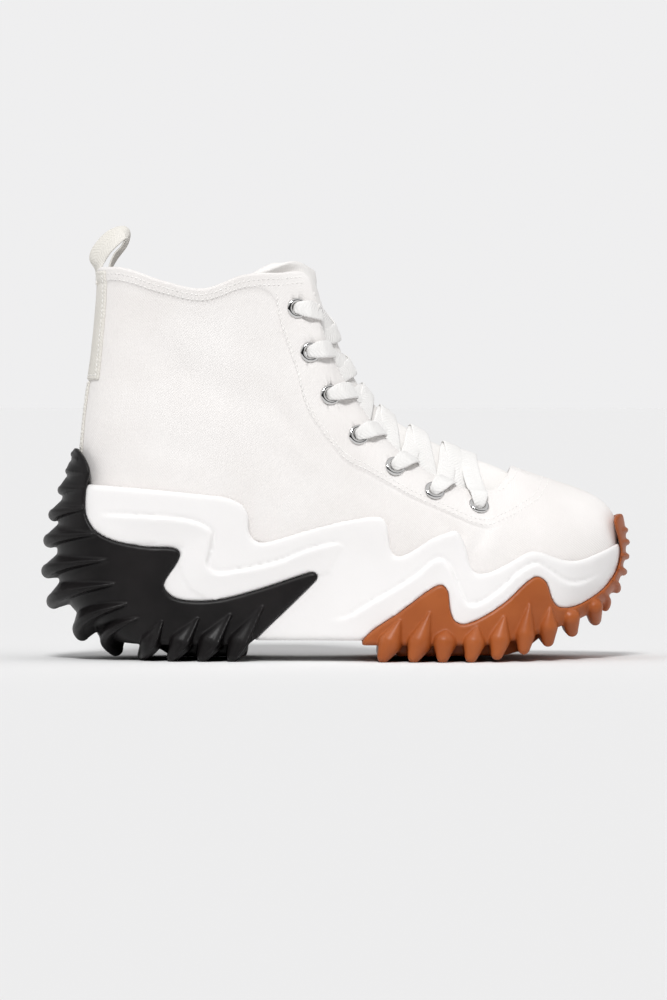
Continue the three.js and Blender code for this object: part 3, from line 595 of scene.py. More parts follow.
# ---------------------------------------------------------------- claws of the tread
# A claw's widest radius as a share of half the pitch, the height of its widest place over its tip,
# the tip's radius and flat spot, and how far it stands out of the outsole.
CLAW = {"fill": 0.84, "shoulder": 9.6, "tip": 3.1, "flat": 0.3, "out": 5.4}
# The claws' field where no claw is near.
FAR_OFF = 9.0


def add_cone(block, field, a, radius_a, b, radius_b):
    """Adds a cone with round ends to a field, over the part of the block that it can reach."""
    reach = max(radius_a, radius_b) + 4 * block.cell
    low = (np.minimum(a, b) - reach - block.low) / block.cell
    high = (np.maximum(a, b) + reach - block.low) / block.cell
    window = tuple(slice(max(int(lo), 0), max(int(hi) + 2, 0)) for lo, hi in zip(low, high))
    x, y, z = block.grids(window)
    if 0 in (x.size, y.size, z.size):
        return
    axis = np.asarray(b, float) - a
    length = (axis ** 2).sum() + 1e-9
    t = np.clip(((x - a[0]) * axis[0] + (y - a[1]) * axis[1] + (z - a[2]) * axis[2]) / length, 0, 1)
    off = (x - a[0] - t * axis[0]) ** 2 + (y - a[1] - t * axis[1]) ** 2 + (z - a[2] - t * axis[2]) ** 2
    cone = np.sqrt(off) - (radius_a + t * (radius_b - radius_a))
    field[window] = np.minimum(field[window], cone)


def wrapped_claw(block, field, claw, middle):
    """A claw that wraps round the heel's back or the toe, whose centre station is middle."""
    tip, apex, half, rise = claw
    start = sole_station(*apex)
    depth = abs(sole_wall(float(middle), tip[1], 0.0)[0] - tip[0])
    for t in np.linspace(0, 1, 44):
        station, z = mix(start, middle, t), mix(apex[1], tip[1], t)
        root = half * mix(0.12, 0.98, t ** 0.6)
        crest = mix(0.4, min(half * 0.56, 3.9), t ** 0.8)
        out = mix(OUTSOLE_PROUD + 0.4, depth, t ** 0.75)
        foot = sole_wall(station, z + rise * t, OUTSOLE_PROUD - root * mix(1, 0.55, t)) * [1, -1, 1]
        peak = sole_wall(station, z, out - crest) * [1, -1, 1]
        add_cone(block, field, foot, root, peak, crest)


def claw_levels(tip, apex, widest):
    """Height, radius and stand-out down a claw: it widens to its shoulder, then rounds in to its tip."""
    shoulder, low = tip[1] + CLAW["shoulder"], tip[1] + CLAW["tip"] - CLAW["flat"]
    out = CLAW["out"]
    down = [(mix(apex[1], shoulder, t), mix(0.5, widest, t), mix(1.1, out, t)) for t in np.linspace(0, 1, 18)]
    turn_in = [(mix(shoulder, low, t), mix(widest, CLAW["tip"], t), mix(out, out - 0.6, t))
               for t in np.linspace(0.15, 1, 7)]
    return down, turn_in


def crossing_claw(block, field, claw, bladed):
    """A claw that widens down the side from its apex, rounds in at its tip and crosses below.

    A bladed claw has a thin ridge along its forward side.
    """
    tip, apex, half = claw
    lean = (apex[0] - tip[0]) / (apex[1] - tip[1])
    widest = half * CLAW["fill"]
    down, turn_in = claw_levels(tip, apex, widest)
    centres = []
    for z, radius, out in down + turn_in:
        x = apex[0] - (apex[1] - z) * lean
        back = radius * 0.18 if bladed else 0.0
        sunk = OUTSOLE_PROUD + out - radius - (0.9 if bladed else 0.0)
        centre = sole_wall(sole_station(x - back, z), z, sunk) * [1, -1, 1]
        centres.append((centre, radius))
        if bladed:
            ridge = sole_wall(sole_station(x + radius * 0.45, z), z, OUTSOLE_PROUD + out - 0.3) * [1, -1, 1]
            add_cone(block, field, centre, radius * 0.86, ridge, min(0.8, radius))
    for (start, start_radius), (end, end_radius) in zip(centres, centres[1:]):
        add_cone(block, field, start, start_radius, end, end_radius)
    (high, _), (foot, _) = centres[len(down) - 1], centres[-1]
    for share in np.linspace(0, 1, 36):
        top, bottom = high * [1, share, 1], foot * [1, share, 1]
        add_cone(block, field, top, widest, bottom, CLAW["tip"])


# ---------------------------------------------------------------- sole pieces
def outsole_field(block, side, claws, rib):
    """A rubber shell round the sole with its claws and rib, cut to its outline and flat at the ground."""
    wall = wall_field(block)
    body = meet(wall - OUTSOLE_PROUD, side_field(block, BODY_SIDE), 3.0)
    body = np.minimum(body, meet(wall + RIB_INSET, side_field(block, rib, 0.7), 3.0))
    whole = fuse(body, claws, 0.9)
    whole = meet(whole, side_field(block, side, 0.7), 1.8)
    core = np.maximum(wall + OUTSOLE_SHELL, side_field(block, CORE_SIDE))
    whole = np.maximum(whole, -core)
    whole = np.maximum(whole, -seat_field(block))
    return np.maximum(whole, -block.grids()[2])


def heel_outsole():
    block = Block(FINE_CELL, -3, 146, -3, 112)
    claws = np.full(block.shape, FAR_OFF, np.float32)
    for claw in HEEL_SPIKES:
        wrapped_claw(block, claws, claw, 0)
    for claw in HEEL_CLAWS:
        crossing_claw(block, claws, claw, bladed=True)
    return whole_form(block, outsole_field(block, HEEL_SIDE, claws, HEEL_RIB))


def forefoot_outsole():
    block = Block(FINE_CELL, 160, 304, -3, 76)
    claws = np.full(block.shape, FAR_OFF, np.float32)
    for claw in FOREFOOT_CLAWS:
        crossing_claw(block, claws, claw, bladed=False)
    for claw in TOE_CLAWS:
        wrapped_claw(block, claws, claw, SOLE_END)
    return whole_form(block, outsole_field(block, FOREFOOT_SIDE, claws, FOREFOOT_RIB))


# A groove's depth and width, how proud the rubber below it stands and how far down that fades.
GROOVE = {"depth": 0.8, "width": 0.95, "step": 1.7, "fade": 9, "reach": 14}


def groove_relief(block):
    """How far the midsole's wall stands in or out at its grooves, from the side."""
    x, z = np.meshgrid(block.x, block.z, indexing="ij")
    relief = np.zeros(x.shape)
    for groove in GROOVES:
        line = even_line(smooth_line(groove, 1.0), 1.0)
        along = unit(np.gradient(line, axis=0))
        share = np.linspace(0, 1, len(line))
        far = np.hypot(x[..., None] - line[:, 0], z[..., None] - line[:, 1])
        near = np.argmin(far, axis=-1)
        off_x, off_z = x - line[near, 0], z - line[near, 1]
        below = off_x * along[near, 1] - off_z * along[near, 0]
        fade = smooth_step(0, 0.12, share[near]) * smooth_step(0, 0.12, 1 - share[near])
        step = smooth_step(-0.4, 1.0, below) * np.exp(-np.maximum(below, 0) / GROOVE["fade"]) * GROOVE["step"]
        crease = -GROOVE["depth"] * bell(below, GROOVE["width"])
        close = far.min(axis=-1) < GROOVE["reach"]
        relief += np.where(close, (step + crease) * fade, 0)
    return relief.astype(np.float32)[:, None, :]


def midsole():
    block = Block(COARSE_CELL, 2, 300, 6, 93)
    wall = wall_field(block)
    band = meet(wall - groove_relief(block), side_field(block, MIDSOLE_SIDE), 3.0)
    for side in (HEEL_SIDE, FOREFOOT_SIDE):
        band = np.maximum(band, SEAM_GAP - side_field(block, side, 0.7))
    core = np.maximum(wall + OUTSOLE_SHELL + GAP, side_field(block, CORE_SIDE) + GAP)
    whole = meet(np.minimum(band, core), -seat_field(block), 1.2)
    return whole_form(block, whole)


# ---------------------------------------------------------------- the upper's panels and creases
COLLAR_HEM = 0.955
TOE_SEAM = [(14, 0.69), (15, 0.75), (16, 0.79), (TOE, 0.805)]
PANEL_RISE = 0.5
# How uneven the cloth is, and how deep and far the eyelets pull it in.
RIPPLE = 0.22
EYELET_PULL = {"depth": 0.3, "reach": 7.5}

# Soft folds of the canvas, from the side: two or three points (x, z), depth and width. A depth
# below zero is a trough.
CREASES = [
    ([(56, 158), (84, 140), (112, 126)], -0.8, 7), ([(60, 170), (90, 156), (120, 140)], 0.6, 8),
    ([(48, 136), (76, 124), (104, 116)], 0.55, 8), ([(44, 118), (70, 106), (100, 98)], -0.5, 7),
    ([(104, 150), (118, 128), (134, 112)], -0.55, 5), ([(120, 118), (136, 102), (156, 90)], 0.5, 6),
    ([(225.7, 68), (221, 58), (217, 47)], -0.9, 3.5), ([(232, 70), (228, 58), (225, 50)], 0.6, 4.5),
    ([(200, 74), (208, 66), (214, 58)], -0.45, 4), ([(246, 76), (250, 68), (252, 60)], -0.4, 4),
    ([(150, 96), (170, 84), (190, 74)], -0.4, 6),
]


def panel_table():
    """The panel line's height at each station of one side: collar hem, eyestay and toe seam."""
    spots = [find_on_upper(x, z) for x, z in PANEL_LINE]
    rows = [(0, COLLAR_HEM), (4, COLLAR_HEM), (5.5, COLLAR_HEM - 0.004), *spots, *TOE_SEAM]
    line = smooth_line(np.array(rows, float) * [10, 100], 0.5)
    return np.maximum.accumulate(line[:, 0]) / 10, line[:, 1] / 100


PANEL_STATIONS, PANEL_UPS = panel_table()


def half_station(station):
    return folded(np.asarray(station, float) % (2 * TOE), TOE)[0]


def panel_up(station):
    return np.interp(half_station(station), PANEL_STATIONS, PANEL_UPS)


def crease_depth(point):
    """How far the folds move the canvas in or out at a point. A fold fades out at both its ends."""
    depth = np.zeros(point.shape[:-1])
    for ends, height, width in CREASES:
        line = even_line(smooth_line(ends, 1.0), 2.0)
        far = np.full(depth.shape, 1e9)
        share = np.zeros(depth.shape)
        for (x, z), place in zip(line, np.linspace(0, 1, len(line))):
            distance = np.hypot(point[..., 0] - x, point[..., 2] - z)
            share = np.where(distance < far, place, share)
            far = np.minimum(far, distance)
        depth += height * bell(far, width) * np.sin(np.pi * np.clip(share, 0.02, 0.98)) ** 0.5
    return depth


def panel_rise(station):
    """How far the panels stand proud: the eyestay is a second layer, and the vamp's seam lies flat."""
    return PANEL_RISE * mix(1, 0.1, smooth_step(11.6, 12.8, half_station(station)))


def past_panel(station, up):
    """How far over the panel line a place is, in sixtieths of the column, and its share of the step."""
    past = (up - panel_up(station)) * 60
    return past, smooth_step(-0.35, 0.35, past)


def upper_relief(station, up):
    """How far the canvas stands off the smooth form: panels, hem, folds and the pull of the eyelets."""
    station, up = np.broadcast_arrays(np.asarray(station, float), np.asarray(up, float))
    point = upper_surface(station, up)
    past, step = past_panel(station, up)
    rise = panel_rise(station)
    relief = rise * step - 0.5 * rise * bell(past, 0.6)
    relief = relief + crease_depth(point) * smooth_step(0.02, 0.2, up) * (1 - 0.5 * smooth_step(0, 1, past))
    x, z = point[..., 0], point[..., 2]
    side = np.where(point[..., 1] < 0, 0.0, 1.7)
    relief = relief + RIPPLE * np.sin(x / 9.1 + z / 14 + side) * np.sin(z / 11.3 - x / 23 + 2 * side)
    for spot in EYELET_SPOTS:
        centre = upper_surface(spot[0], spot[1])
        pull = bell(np.hypot(x - centre[0], z - centre[2]), EYELET_PULL["reach"])
        relief = relief - EYELET_PULL["depth"] * pull * (np.abs(point[..., 1]) > 10)
    return relief


def on_canvas(station, up, proud=0.0):
    return upper_point(station, up, upper_relief(station, up) + proud)


# ---------------------------------------------------------------- meshes
OFFSET = np.array([cad_low.x, sum(corner.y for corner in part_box("pull_loop")) / 2, cad_low.z])


def to_frame(points):
    """Points in millimetres, bent to the foot's curve and moved into the frame, in metres."""
    points = np.array(points, float)
    x = points[:, 0]
    toe = SWING["toe"] * np.maximum(0, (x - SWING["toe_start"]) / (LENGTH - SWING["toe_start"])) ** 2
    waist = SWING["waist"] * bell(x - SWING["waist_centre"], SWING["waist_spread"])
    points[:, 1] += toe - waist
    return points * MM + OFFSET


def add_piece(name, form, slot, replaces=(), lap=None, finish=None):
    """A mesh piece that rides on the shoe, in its slot's finish unless another is named.

    The form is points, quads and, if it is woven, each point's place in the weave, in metres.
    A weave that runs right round meets itself again after lap.
    """
    points, quads, *woven = form
    mesh = bpy.data.meshes.new(name)
    mesh.from_pydata(to_frame(points).tolist(), [], quads.tolist())
    mesh.polygons.foreach_set("use_smooth", np.ones(len(quads), bool))
    for uv in woven:
        corners = uv[quads]
        if lap:
            across = corners[..., 0]
            torn = (across.max(1) - across.min(1) > lap / 2)[:, None] & (across < lap / 2)
            corners[..., 0] = np.where(torn, across + lap, across)
        mesh.uv_layers.new(name="weave").data.foreach_set("uv", corners.reshape(-1))
    mesh.update()
    piece = bpy.data.objects.new(name, mesh)
    bpy.context.scene.collection.objects.link(piece)
    mesh.materials.append(FINISHES[finish or slot])
    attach(piece, "root")
    if replaces:
        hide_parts(*replaces)
    return piece


def lattice(columns, rows, wrap_columns=False, wrap_rows=False):
    """Quads between the points of a grid, stored column by column."""
    i = np.arange(columns if wrap_columns else columns - 1)[:, None]
    j = np.arange(rows if wrap_rows else rows - 1)[None, :]
    i, j = np.broadcast_arrays(i, j)
    after_i, after_j = (i + 1) % columns, (j + 1) % rows
    return np.stack([i * rows + j, after_i * rows + j, after_i * rows + after_j, i * rows + after_j], -1)


def slab(outer, inner):
    """A closed sheet between two grids of points, one on each face."""
    columns, rows = outer.shape[:2]
    count = columns * rows
    face = lattice(columns, rows).reshape(-1, 4)
    index = np.arange(count).reshape(columns, rows)
    rim = np.concatenate([index[:, 0], index[-1, 1:], index[-2::-1, -1], index[0, -2:0:-1]])
    after = np.roll(rim, -1)
    border = np.stack([after, rim, rim + count, after + count], -1)
    points = np.concatenate([outer.reshape(-1, 3), inner.reshape(-1, 3)])
    return points, np.concatenate([face, face[:, ::-1] + count, border])


def far_along(grid, axis):
    """Distance along one axis of a grid of points, from its start."""
    step = np.linalg.norm(np.diff(grid, axis=axis), axis=-1)
    pad = [(0, 0), (0, 0)]
    pad[axis] = (1, 0)
    return np.pad(np.cumsum(step, axis=axis), pad)


def weave_places(grid):
    """Each grid point's distance along the columns and along the rows, in metres."""
    across = far_along(grid, 0).mean(axis=1, keepdims=True) + np.zeros(grid.shape[:2])
    return np.stack([across, far_along(grid, 1)], -1) * MM


def woven_slab(outer, inner, uv):
    return *slab(outer, inner), np.tile(uv.reshape(-1, 2), (2, 1))


def capped_tube(rings):
    """A closed tube through rings of points."""
    count, sides = rings.shape[:2]
    wall = lattice(count, sides, wrap_rows=True).reshape(-1, 4)
    ends = []
    for start, turn in ((0, 1), ((count - 1) * sides, -1)):
        for i in range(sides // 2 - 1):
            quad = [start + i, start + i + 1, start + sides - 2 - i, start + sides - 1 - i]
            ends.append(quad[::turn])
    return rings.reshape(-1, 3), np.concatenate([wall, ends])


def ribbon(places, spacing=0.8, sides=16):
    """A flat woven strip. Each place has its point, its face's direction, its width and thickness."""
    rows = [[*point, *np.asarray(face) * 4, width, thick] for point, face, width, thick in places]
    line = smooth_line(rows, spacing)
    centre, face = line[:, :3], unit(line[:, 3:6])
    along = unit(np.gradient(centre, axis=0))
    across = unit(np.cross(face, along))
    face = np.cross(along, across)
    turn = np.linspace(0, 2 * np.pi, sides, endpoint=False) + np.pi / sides
    wide = np.sign(np.cos(turn)) * np.abs(np.cos(turn)) ** 0.55
    high = np.sign(np.sin(turn)) * np.abs(np.sin(turn)) ** 0.8
    half_width, half_thick = line[:, 6:7] / 2, line[:, 7:8] / 2
    rings = centre[:, None] + across[:, None] * (half_width * wide)[..., None]
    rings = rings + face[:, None] * (half_thick * high)[..., None]
    points, quads = capped_tube(rings)
    far = far_on_line(centre)
    uv = np.stack([half_width * wide, far[:, None] + 0 * wide], -1).reshape(-1, 2) * MM
    return points, quads, uv


def joined(forms):
    """Several forms as one."""
    points, quads, *woven = zip(*forms)
    start = np.cumsum([0] + [len(part) for part in points[:-1]])
    quads = [part + offset for part, offset in zip(quads, start)]
    return [np.concatenate(parts) for parts in (points, quads, *woven)]


def lathe(profile, segments):
    """A ring turned round z from a closed profile of (radius, z)."""
    profile = np.asarray(profile, float)
    turn = np.linspace(0, 2 * np.pi, segments, endpoint=False)[:, None]
    radius = profile[None, :, 0]
    points = np.stack([radius * np.cos(turn), radius * np.sin(turn), profile[None, :, 1] + 0 * turn], -1)
    return points.reshape(-1, 3), lattice(segments, len(profile), True, True).reshape(-1, 4)


# ---------------------------------------------------------------- finishes
class Nodes:
    """Short ways to add nodes to a tree."""

    def __init__(self, tree):
        self.tree = tree

    def put(self, socket, value):
        """Links a socket to another, or gives it a plain value."""
        if isinstance(value, bpy.types.NodeSocket):
            self.tree.links.new(value, socket)
        else:
            socket.default_value = value

    def set(self, node, values):
        for name, value in values.items():
            self.put(node.inputs[name], value)
        return node

    def add(self, kind, values=None, **settings):
        node = self.tree.nodes.new("ShaderNode" + kind)
        for name, value in settings.items():
            setattr(node, name, value)
        return self.set(node, values or {})

    def math(self, operation, a, b=0.0):
        node = self.add("Math", operation=operation)
        for socket, value in zip(node.inputs, (a, b)):
            self.put(socket, value)
        return node.outputs[0]


class Finish(Nodes):
    """A procedural material, with what can vary over it."""

    def __init__(self, name, color, roughness, metallic=0.0, specular=0.5):
        self.material = bpy.data.materials.new(name)
        self.material.use_nodes = True
        super().__init__(self.material.node_tree)
        self.shader = self.tree.nodes["Principled BSDF"]
        self.set(self.shader, {
            "Base Color": (*color, 1), "Roughness": roughness, "Metallic": metallic,
            "Specular IOR Level": specular,
        })

    def noise(self, scale, detail=3.0):
        place = self.add("TexCoord").outputs["Object"]
        return self.add("TexNoise", {"Vector": place, "Scale": scale, "Detail": detail}).outputs["Fac"]

    def blend(self, factor, dark, light):
        """The base colour runs from dark to light with the middle of the factor's range."""
        spread = self.add("MapRange", {"Value": factor, "From Min": 0.35, "From Max": 0.65}).outputs["Result"]
        colour = self.add("Mix", {"Factor": spread, "A": (*dark, 1), "B": (*light, 1)}, data_type="RGBA")
        self.set(self.shader, {"Base Color": colour.outputs["Result"]})

    def rough(self, factor, low, high):
        """The roughness runs from low to high with the factor."""
        spread = self.add("MapRange", {"Value": factor, "To Min": low, "To Max": high})
        self.set(self.shader, {"Roughness": spread.outputs["Result"]})

    def bump(self, height, distance):
        """Adds relief of this height, in millimetres, to what the shader already has."""
        node = self.add("Bump", {"Height": height, "Distance": distance * MM, "Strength": 1.0})
        if self.shader.inputs["Normal"].is_linked:
            self.set(node, {"Normal": self.shader.inputs["Normal"].links[0].from_socket})
        self.set(self.shader, {"Normal": node.outputs["Normal"]})

    def weave(self, pitch, slant=0.0):
        """Threads that pass over and under, pitch millimetres apart. slant turns them into ribs."""
        place = self.add("UVMap", uv_map="weave").outputs["UV"]
        parts = self.add("SeparateXYZ", {"Vector": place})
        turn = np.pi / (pitch * MM)
        u, v = (self.math("MULTIPLY", parts.outputs[axis], turn) for axis in ("X", "Y"))
        if slant:
            lean = self.math("MULTIPLY", self.math("ABSOLUTE", u), slant)
            return self.math("SINE", self.math("ADD", v, lean))
        return self.math("MULTIPLY", self.math("SINE", u), self.math("SINE", v))


# Each finish: its plain colour, roughness and gloss, then what varies over it. blend, rough and
# bumps start with a noise's scale and detail; weave is the pitch, the slant and the relief.
LOOKS = {
    "canvas": {
        "plain": ((0.86, 0.83, 0.81), 0.88), "specular": 0.25, "sheen": 0.12,
        "blend": (24, 4, (0.85, 0.82, 0.80), (0.9, 0.875, 0.858)),
        "weave": (0.75, 0, 0.035), "bumps": [(420, 3, 0.04)],
    },
    "tongue_cloth": {
        "plain": ((0.84, 0.81, 0.79), 0.9), "specular": 0.2, "sheen": 0.15,
        "blend": (30, 4, (0.86, 0.84, 0.82), (0.91, 0.89, 0.87)),
        "weave": (0.7, 0, 0.03), "bumps": [(300, 3, 0.08)],
    },
    "insole_cloth": {
        "plain": ((0.8, 0.77, 0.73), 0.95), "specular": 0.15,
        "blend": (18, 4, (0.76, 0.73, 0.69), (0.83, 0.8, 0.76)), "weave": (0.9, 0, 0.08),
    },
    "lace_weave": {
        "plain": ((0.87, 0.86, 0.845), 0.85), "specular": 0.15, "sheen": 0.1,
        "blend": (60, 3, (0.85, 0.838, 0.822), (0.89, 0.88, 0.865)),
        "weave": (0.8, 0.55, 0.06), "bumps": [(900, 2, 0.04)],
    },
    "heel_tape": {
        "plain": ((0.78, 0.755, 0.7), 0.85), "specular": 0.2,
        "blend": (40, 3, (0.76, 0.735, 0.68), (0.81, 0.785, 0.735)), "weave": (0.8, 0.6, 0.05),
    },
    "thread": {
        "plain": ((0.9, 0.88, 0.86), 0.75), "specular": 0.3,
        "blend": (200, 2, (0.87, 0.85, 0.83), (0.93, 0.92, 0.9)),
    },
    "white_midsole": {
        "plain": ((0.89, 0.876, 0.87), 0.55), "specular": 0.3,
        "blend": (14, 4, (0.875, 0.86, 0.853), (0.91, 0.896, 0.89)),
        "rough": (70, 3, 0.48, 0.64), "bumps": [(1100, 2, 0.025), (38, 3, 0.12)],
    },
    "black_rubber": {
        "plain": ((0.007, 0.006, 0.0062), 0.42), "specular": 0.22,
        "blend": (45, 5, (0.0055, 0.0048, 0.005), (0.0105, 0.009, 0.0093)),
        "rough": (90, 4, 0.34, 0.5), "bumps": [(1300, 2, 0.03), (120, 3, 0.06)],
    },
    "gum_rubber": {
        "plain": ((0.38, 0.098, 0.021), 0.4), "specular": 0.34,
        "blend": (36, 5, (0.335, 0.08, 0.016), (0.41, 0.108, 0.025)),
        "rough": (90, 4, 0.34, 0.52), "bumps": [(1300, 2, 0.03), (110, 3, 0.06)],
    },
    "eyelet_metal": {
        "plain": ((0.66, 0.655, 0.65), 0.06), "metallic": 1.0,
        "rough": (400, 4, 0.04, 0.09), "bumps": [(700, 2, 0.01)],
    },
}


def finished(name, look):
    """The material of one row of LOOKS."""
    finish = Finish(name, *look["plain"], look.get("metallic", 0.0), look.get("specular", 0.5))
    if "sheen" in look:
        finish.shader.inputs["Sheen Weight"].default_value = look["sheen"]
    if "blend" in look:
        scale, detail, dark, light = look["blend"]
        finish.blend(finish.noise(scale, detail), dark, light)
    if "rough" in look:
        scale, detail, low, high = look["rough"]
        finish.rough(finish.noise(scale, detail), low, high)
    if "weave" in look:
        pitch, slant, relief = look["weave"]
        finish.bump(finish.weave(pitch, slant), relief)
    for scale, detail, relief in look.get("bumps", ()):
        finish.bump(finish.noise(scale, detail), relief)
    return finish.material


FINISHES = {name: finished(name, look) for name, look in LOOKS.items()}

# ---------------------------------------------------------------- the camera
CAMERA_AT = Vector((-0.0013, -3.5, 0.142))
AIM = Vector((-0.0013, -0.02, 0.0809))
SCALE_AT_AIM = 1977
IMAGE_HEIGHT = 1000
SENSOR = 36


def add_camera():
    data = bpy.data.cameras.new("camera")
    data.sensor_width = SENSOR
    data.lens = SCALE_AT_AIM * (AIM - CAMERA_AT).length * SENSOR / IMAGE_HEIGHT
    camera = bpy.data.objects.new("camera", data)
    camera.location = CAMERA_AT
    camera.rotation_euler = (AIM - CAMERA_AT).to_track_quat("-Z", "Y").to_euler()
    bpy.context.scene.collection.objects.link(camera)
    bpy.context.scene.camera = camera


add_camera()

# ---------------------------------------------------------------- sole pieces
def add_sole():
    add_piece("midsole_finished", midsole(), "white_midsole", ["midsole"])
    add_piece("outsole_heel_finished", heel_outsole(), "black_rubber", ["outsole_heel"])
    add_piece("outsole_forefoot_finished", forefoot_outsole(), "gum_rubber", ["outsole_forefoot"])


add_sole()

# ---------------------------------------------------------------- the upper
UPPER_COLUMNS = 420
LOWER_ROWS = 46
PANEL_ROWS = 17
RIM_ROWS = 5
# The height at which the stations are spaced evenly and the weave's way round is measured.
GIRTH_UP = 0.4


def even_stations(count, up):
    """Stations all round the shoe whose points on the upper at a height are evenly spaced."""
    fine = np.linspace(0, 2 * TOE, 3000)
    step = np.linalg.norm(np.diff(upper_surface(fine, up), axis=0), axis=1) + 0.02
    far = np.concatenate([[0], np.cumsum(step)])
    return np.interp(np.linspace(0, far[-1], count, endpoint=False), far, fine)


def upper_heights(station):
    """The heights of the upper's rows at each station, with two rows along the panel line."""
    line = panel_up(station)[:, None]
    below = line * np.concatenate([np.linspace(0, 1, LOWER_ROWS)[:-1], [0.9965]])[None, :]
    above = line + (1 - line) * np.concatenate([[0.012], np.linspace(0, 1, PANEL_ROWS)[1:]])[None, :]
    return np.concatenate([below, above], axis=1)


def punched(outer, radius):
    """The face with its holes' edges moved onto circles, and which of its quads are left."""
    after = np.roll(outer, -1, 0)
    centres = (outer[:, :-1] + outer[:, 1:] + after[:, :-1] + after[:, 1:]) / 4
    keep = np.ones(centres.shape[:2], bool)
    for seat in eyelet_seats():
        axis = upper_normal(*seat)
        middle = on_canvas(*seat)

        def off_axis(points):
            away = points - middle
            return away - np.sum(away * axis, -1, keepdims=True) * axis

        near = np.linalg.norm(centres - middle, axis=-1) < 4 * radius
        inside = near & (np.linalg.norm(off_axis(centres), axis=-1) < radius)
        keep &= ~inside
        used = np.zeros(outer.shape[:2], bool)
        for i, j in np.argwhere(inside):
            used[[i, (i + 1) % len(outer), i, (i + 1) % len(outer)], [j, j, j + 1, j + 1]] = True
        away = off_axis(outer)
        far = np.linalg.norm(away, axis=-1, keepdims=True)
        close = used[..., None] & (far > 0.35 * radius)
        outer[:] = np.where(close, outer + away * (radius / np.maximum(far, 0.1) - 1), outer)
    return outer, keep


def eyelet_seats():
    """The station and height of each eyelet, on the outer side and then the inner."""
    outer = [(station, up) for station, up, _ in EYELET_SPOTS]
    return outer + [(2 * TOE - station, up) for station, up in outer]


def canvas_rings(station, up, outer):
    """The canvas's section at each station: its outer face, a rounded rim and its inner face."""
    normal = upper_normal(station, up)
    thick = WALL + panel_rise(station) * past_panel(station, up)[1]
    inner = outer - normal * thick[..., None]
    top, out = (outer[:, -1] + inner[:, -1]) / 2, normal[:, -1]
    rising = unit(upper_surface(station[:, -1], 1.0) - upper_surface(station[:, -1], 0.99))
    turn = np.linspace(0, np.pi, RIM_ROWS + 2)[1:-1, None]
    half = thick[:, -1][:, None, None] / 2
    rim = top[:, None] + half * (np.cos(turn) * out[:, None] + np.sin(turn) * rising[:, None])
    return np.concatenate([outer, rim, inner[:, ::-1]], axis=1)


def hole_walls(keep, rows):
    """The quads between the outer and the inner face round every hole."""
    walls = []
    for i, j in np.argwhere(~keep):
        after = (i + 1) % len(keep)
        corners = [(i, j), (after, j), (after, j + 1), (i, j + 1)]
        beside = [(i, j - 1), (after, j), (i, j + 1), (i - 1, j)]
        for place, (a, b), (c, d) in zip(beside, corners, corners[1:] + corners[:1]):
            if keep[place]:
                walls.append([a * rows + b, c * rows + d, (c + 1) * rows - 1 - d, (a + 1) * rows - 1 - b])
    return walls


def canvas_quads(keep, rows):
    """The quads of both faces and the rim, less the holes, and the holes' walls."""
    whole = np.ones((len(keep), rows), bool)
    whole[:, :keep.shape[1]] = keep
    whole[:, rows - 1 - keep.shape[1]:rows - 1] = keep[:, ::-1]
    return np.concatenate([lattice(len(keep), rows, True, True)[whole], hole_walls(keep, rows)])


def add_upper():
    station = even_stations(UPPER_COLUMNS, GIRTH_UP)
    girth = upper_surface(station, GIRTH_UP)
    lap = np.linalg.norm(girth - np.roll(girth, 1, axis=0), axis=1).sum() * MM
    up = upper_heights(station)
    station = station[:, None] + 0 * up
    outer, keep = punched(on_canvas(station, up), EYELET["barrel"] + 0.15)
    rings = canvas_rings(station, up, outer)
    quads = canvas_quads(keep, rings.shape[1])
    around = np.linspace(0, lap, UPPER_COLUMNS, endpoint=False)[:, None] + 0 * rings[..., 0]
    uv = np.stack([around, far_along(rings, 1) * MM], -1).reshape(-1, 2)
    used, places = np.unique(quads, return_inverse=True)
    form = rings.reshape(-1, 3)[used], places.reshape(quads.shape), uv[used]
    add_piece("upper_canvas", form, "canvas", ["upper"], lap)


add_upper()

# ---------------------------------------------------------------- the tongue and the insole
TONGUE_LAST = len(TONGUE) - 1.001
# The padding of the roll at the top: its puff with its reach, the softer swell below it, and the
# seam pressed in between.
ROLL = {"puff": 3.4, "reach": 9, "swell": 0.7, "swell_at": 30, "seam": 0.5, "seam_at": 10}


def tongue_row(position):
    """The tongue's edge, its place under the facing and its crest at a position down its length."""
    row = spline(TONGUE, np.ones(6), np.clip(position, 0, TONGUE_LAST))
    below = -WALL - 6.5 * GAP
    edge = upper_point(row[..., 0], row[..., 1], below)
    facing = upper_point(row[..., 2], row[..., 3], below)
    crest = np.stack([row[..., 4], 0 * row[..., 4], row[..., 5]], -1)
    return edge, facing, crest


def tongue_surface(position, across):
    """The tongue's outer face. across runs from -2 at one edge over the crest at 0 to 2 at the other."""
    position, across = np.broadcast_arrays(np.asarray(position, float), np.asarray(across, float))
    edge, facing, crest = tongue_row(position)
    row = np.stack([edge, facing, crest, facing * [1, -1, 1], edge * [1, -1, 1]])
    place = np.clip(across + 2, 0, 3.999)
    start = place.astype(int)
    t = (place - start)[..., None]
    near = (np.clip(start + step, 0, 4)[None, ..., None] for step in (-1, 0, 1, 2))
    return between(*(np.take_along_axis(row, index, 0)[0] for index in near), t)


def tongue_normal(position, across):
    step = 0.05
    before, after = (np.clip(position + move, 0, TONGUE_LAST) for move in (-step, step))
    down = tongue_surface(after, across) - tongue_surface(before, across)
    over = tongue_surface(position, across + step) - tongue_surface(position, across - step)
    return unit(np.cross(down, over))


def rounded_edge(distance, radius):
    """Share of the full thickness at a distance from an edge that is rounded to this radius."""
    inside = np.clip(distance / radius, 0, 1)
    return np.sqrt(np.clip(1 - (1 - inside) ** 2, 0, 1))


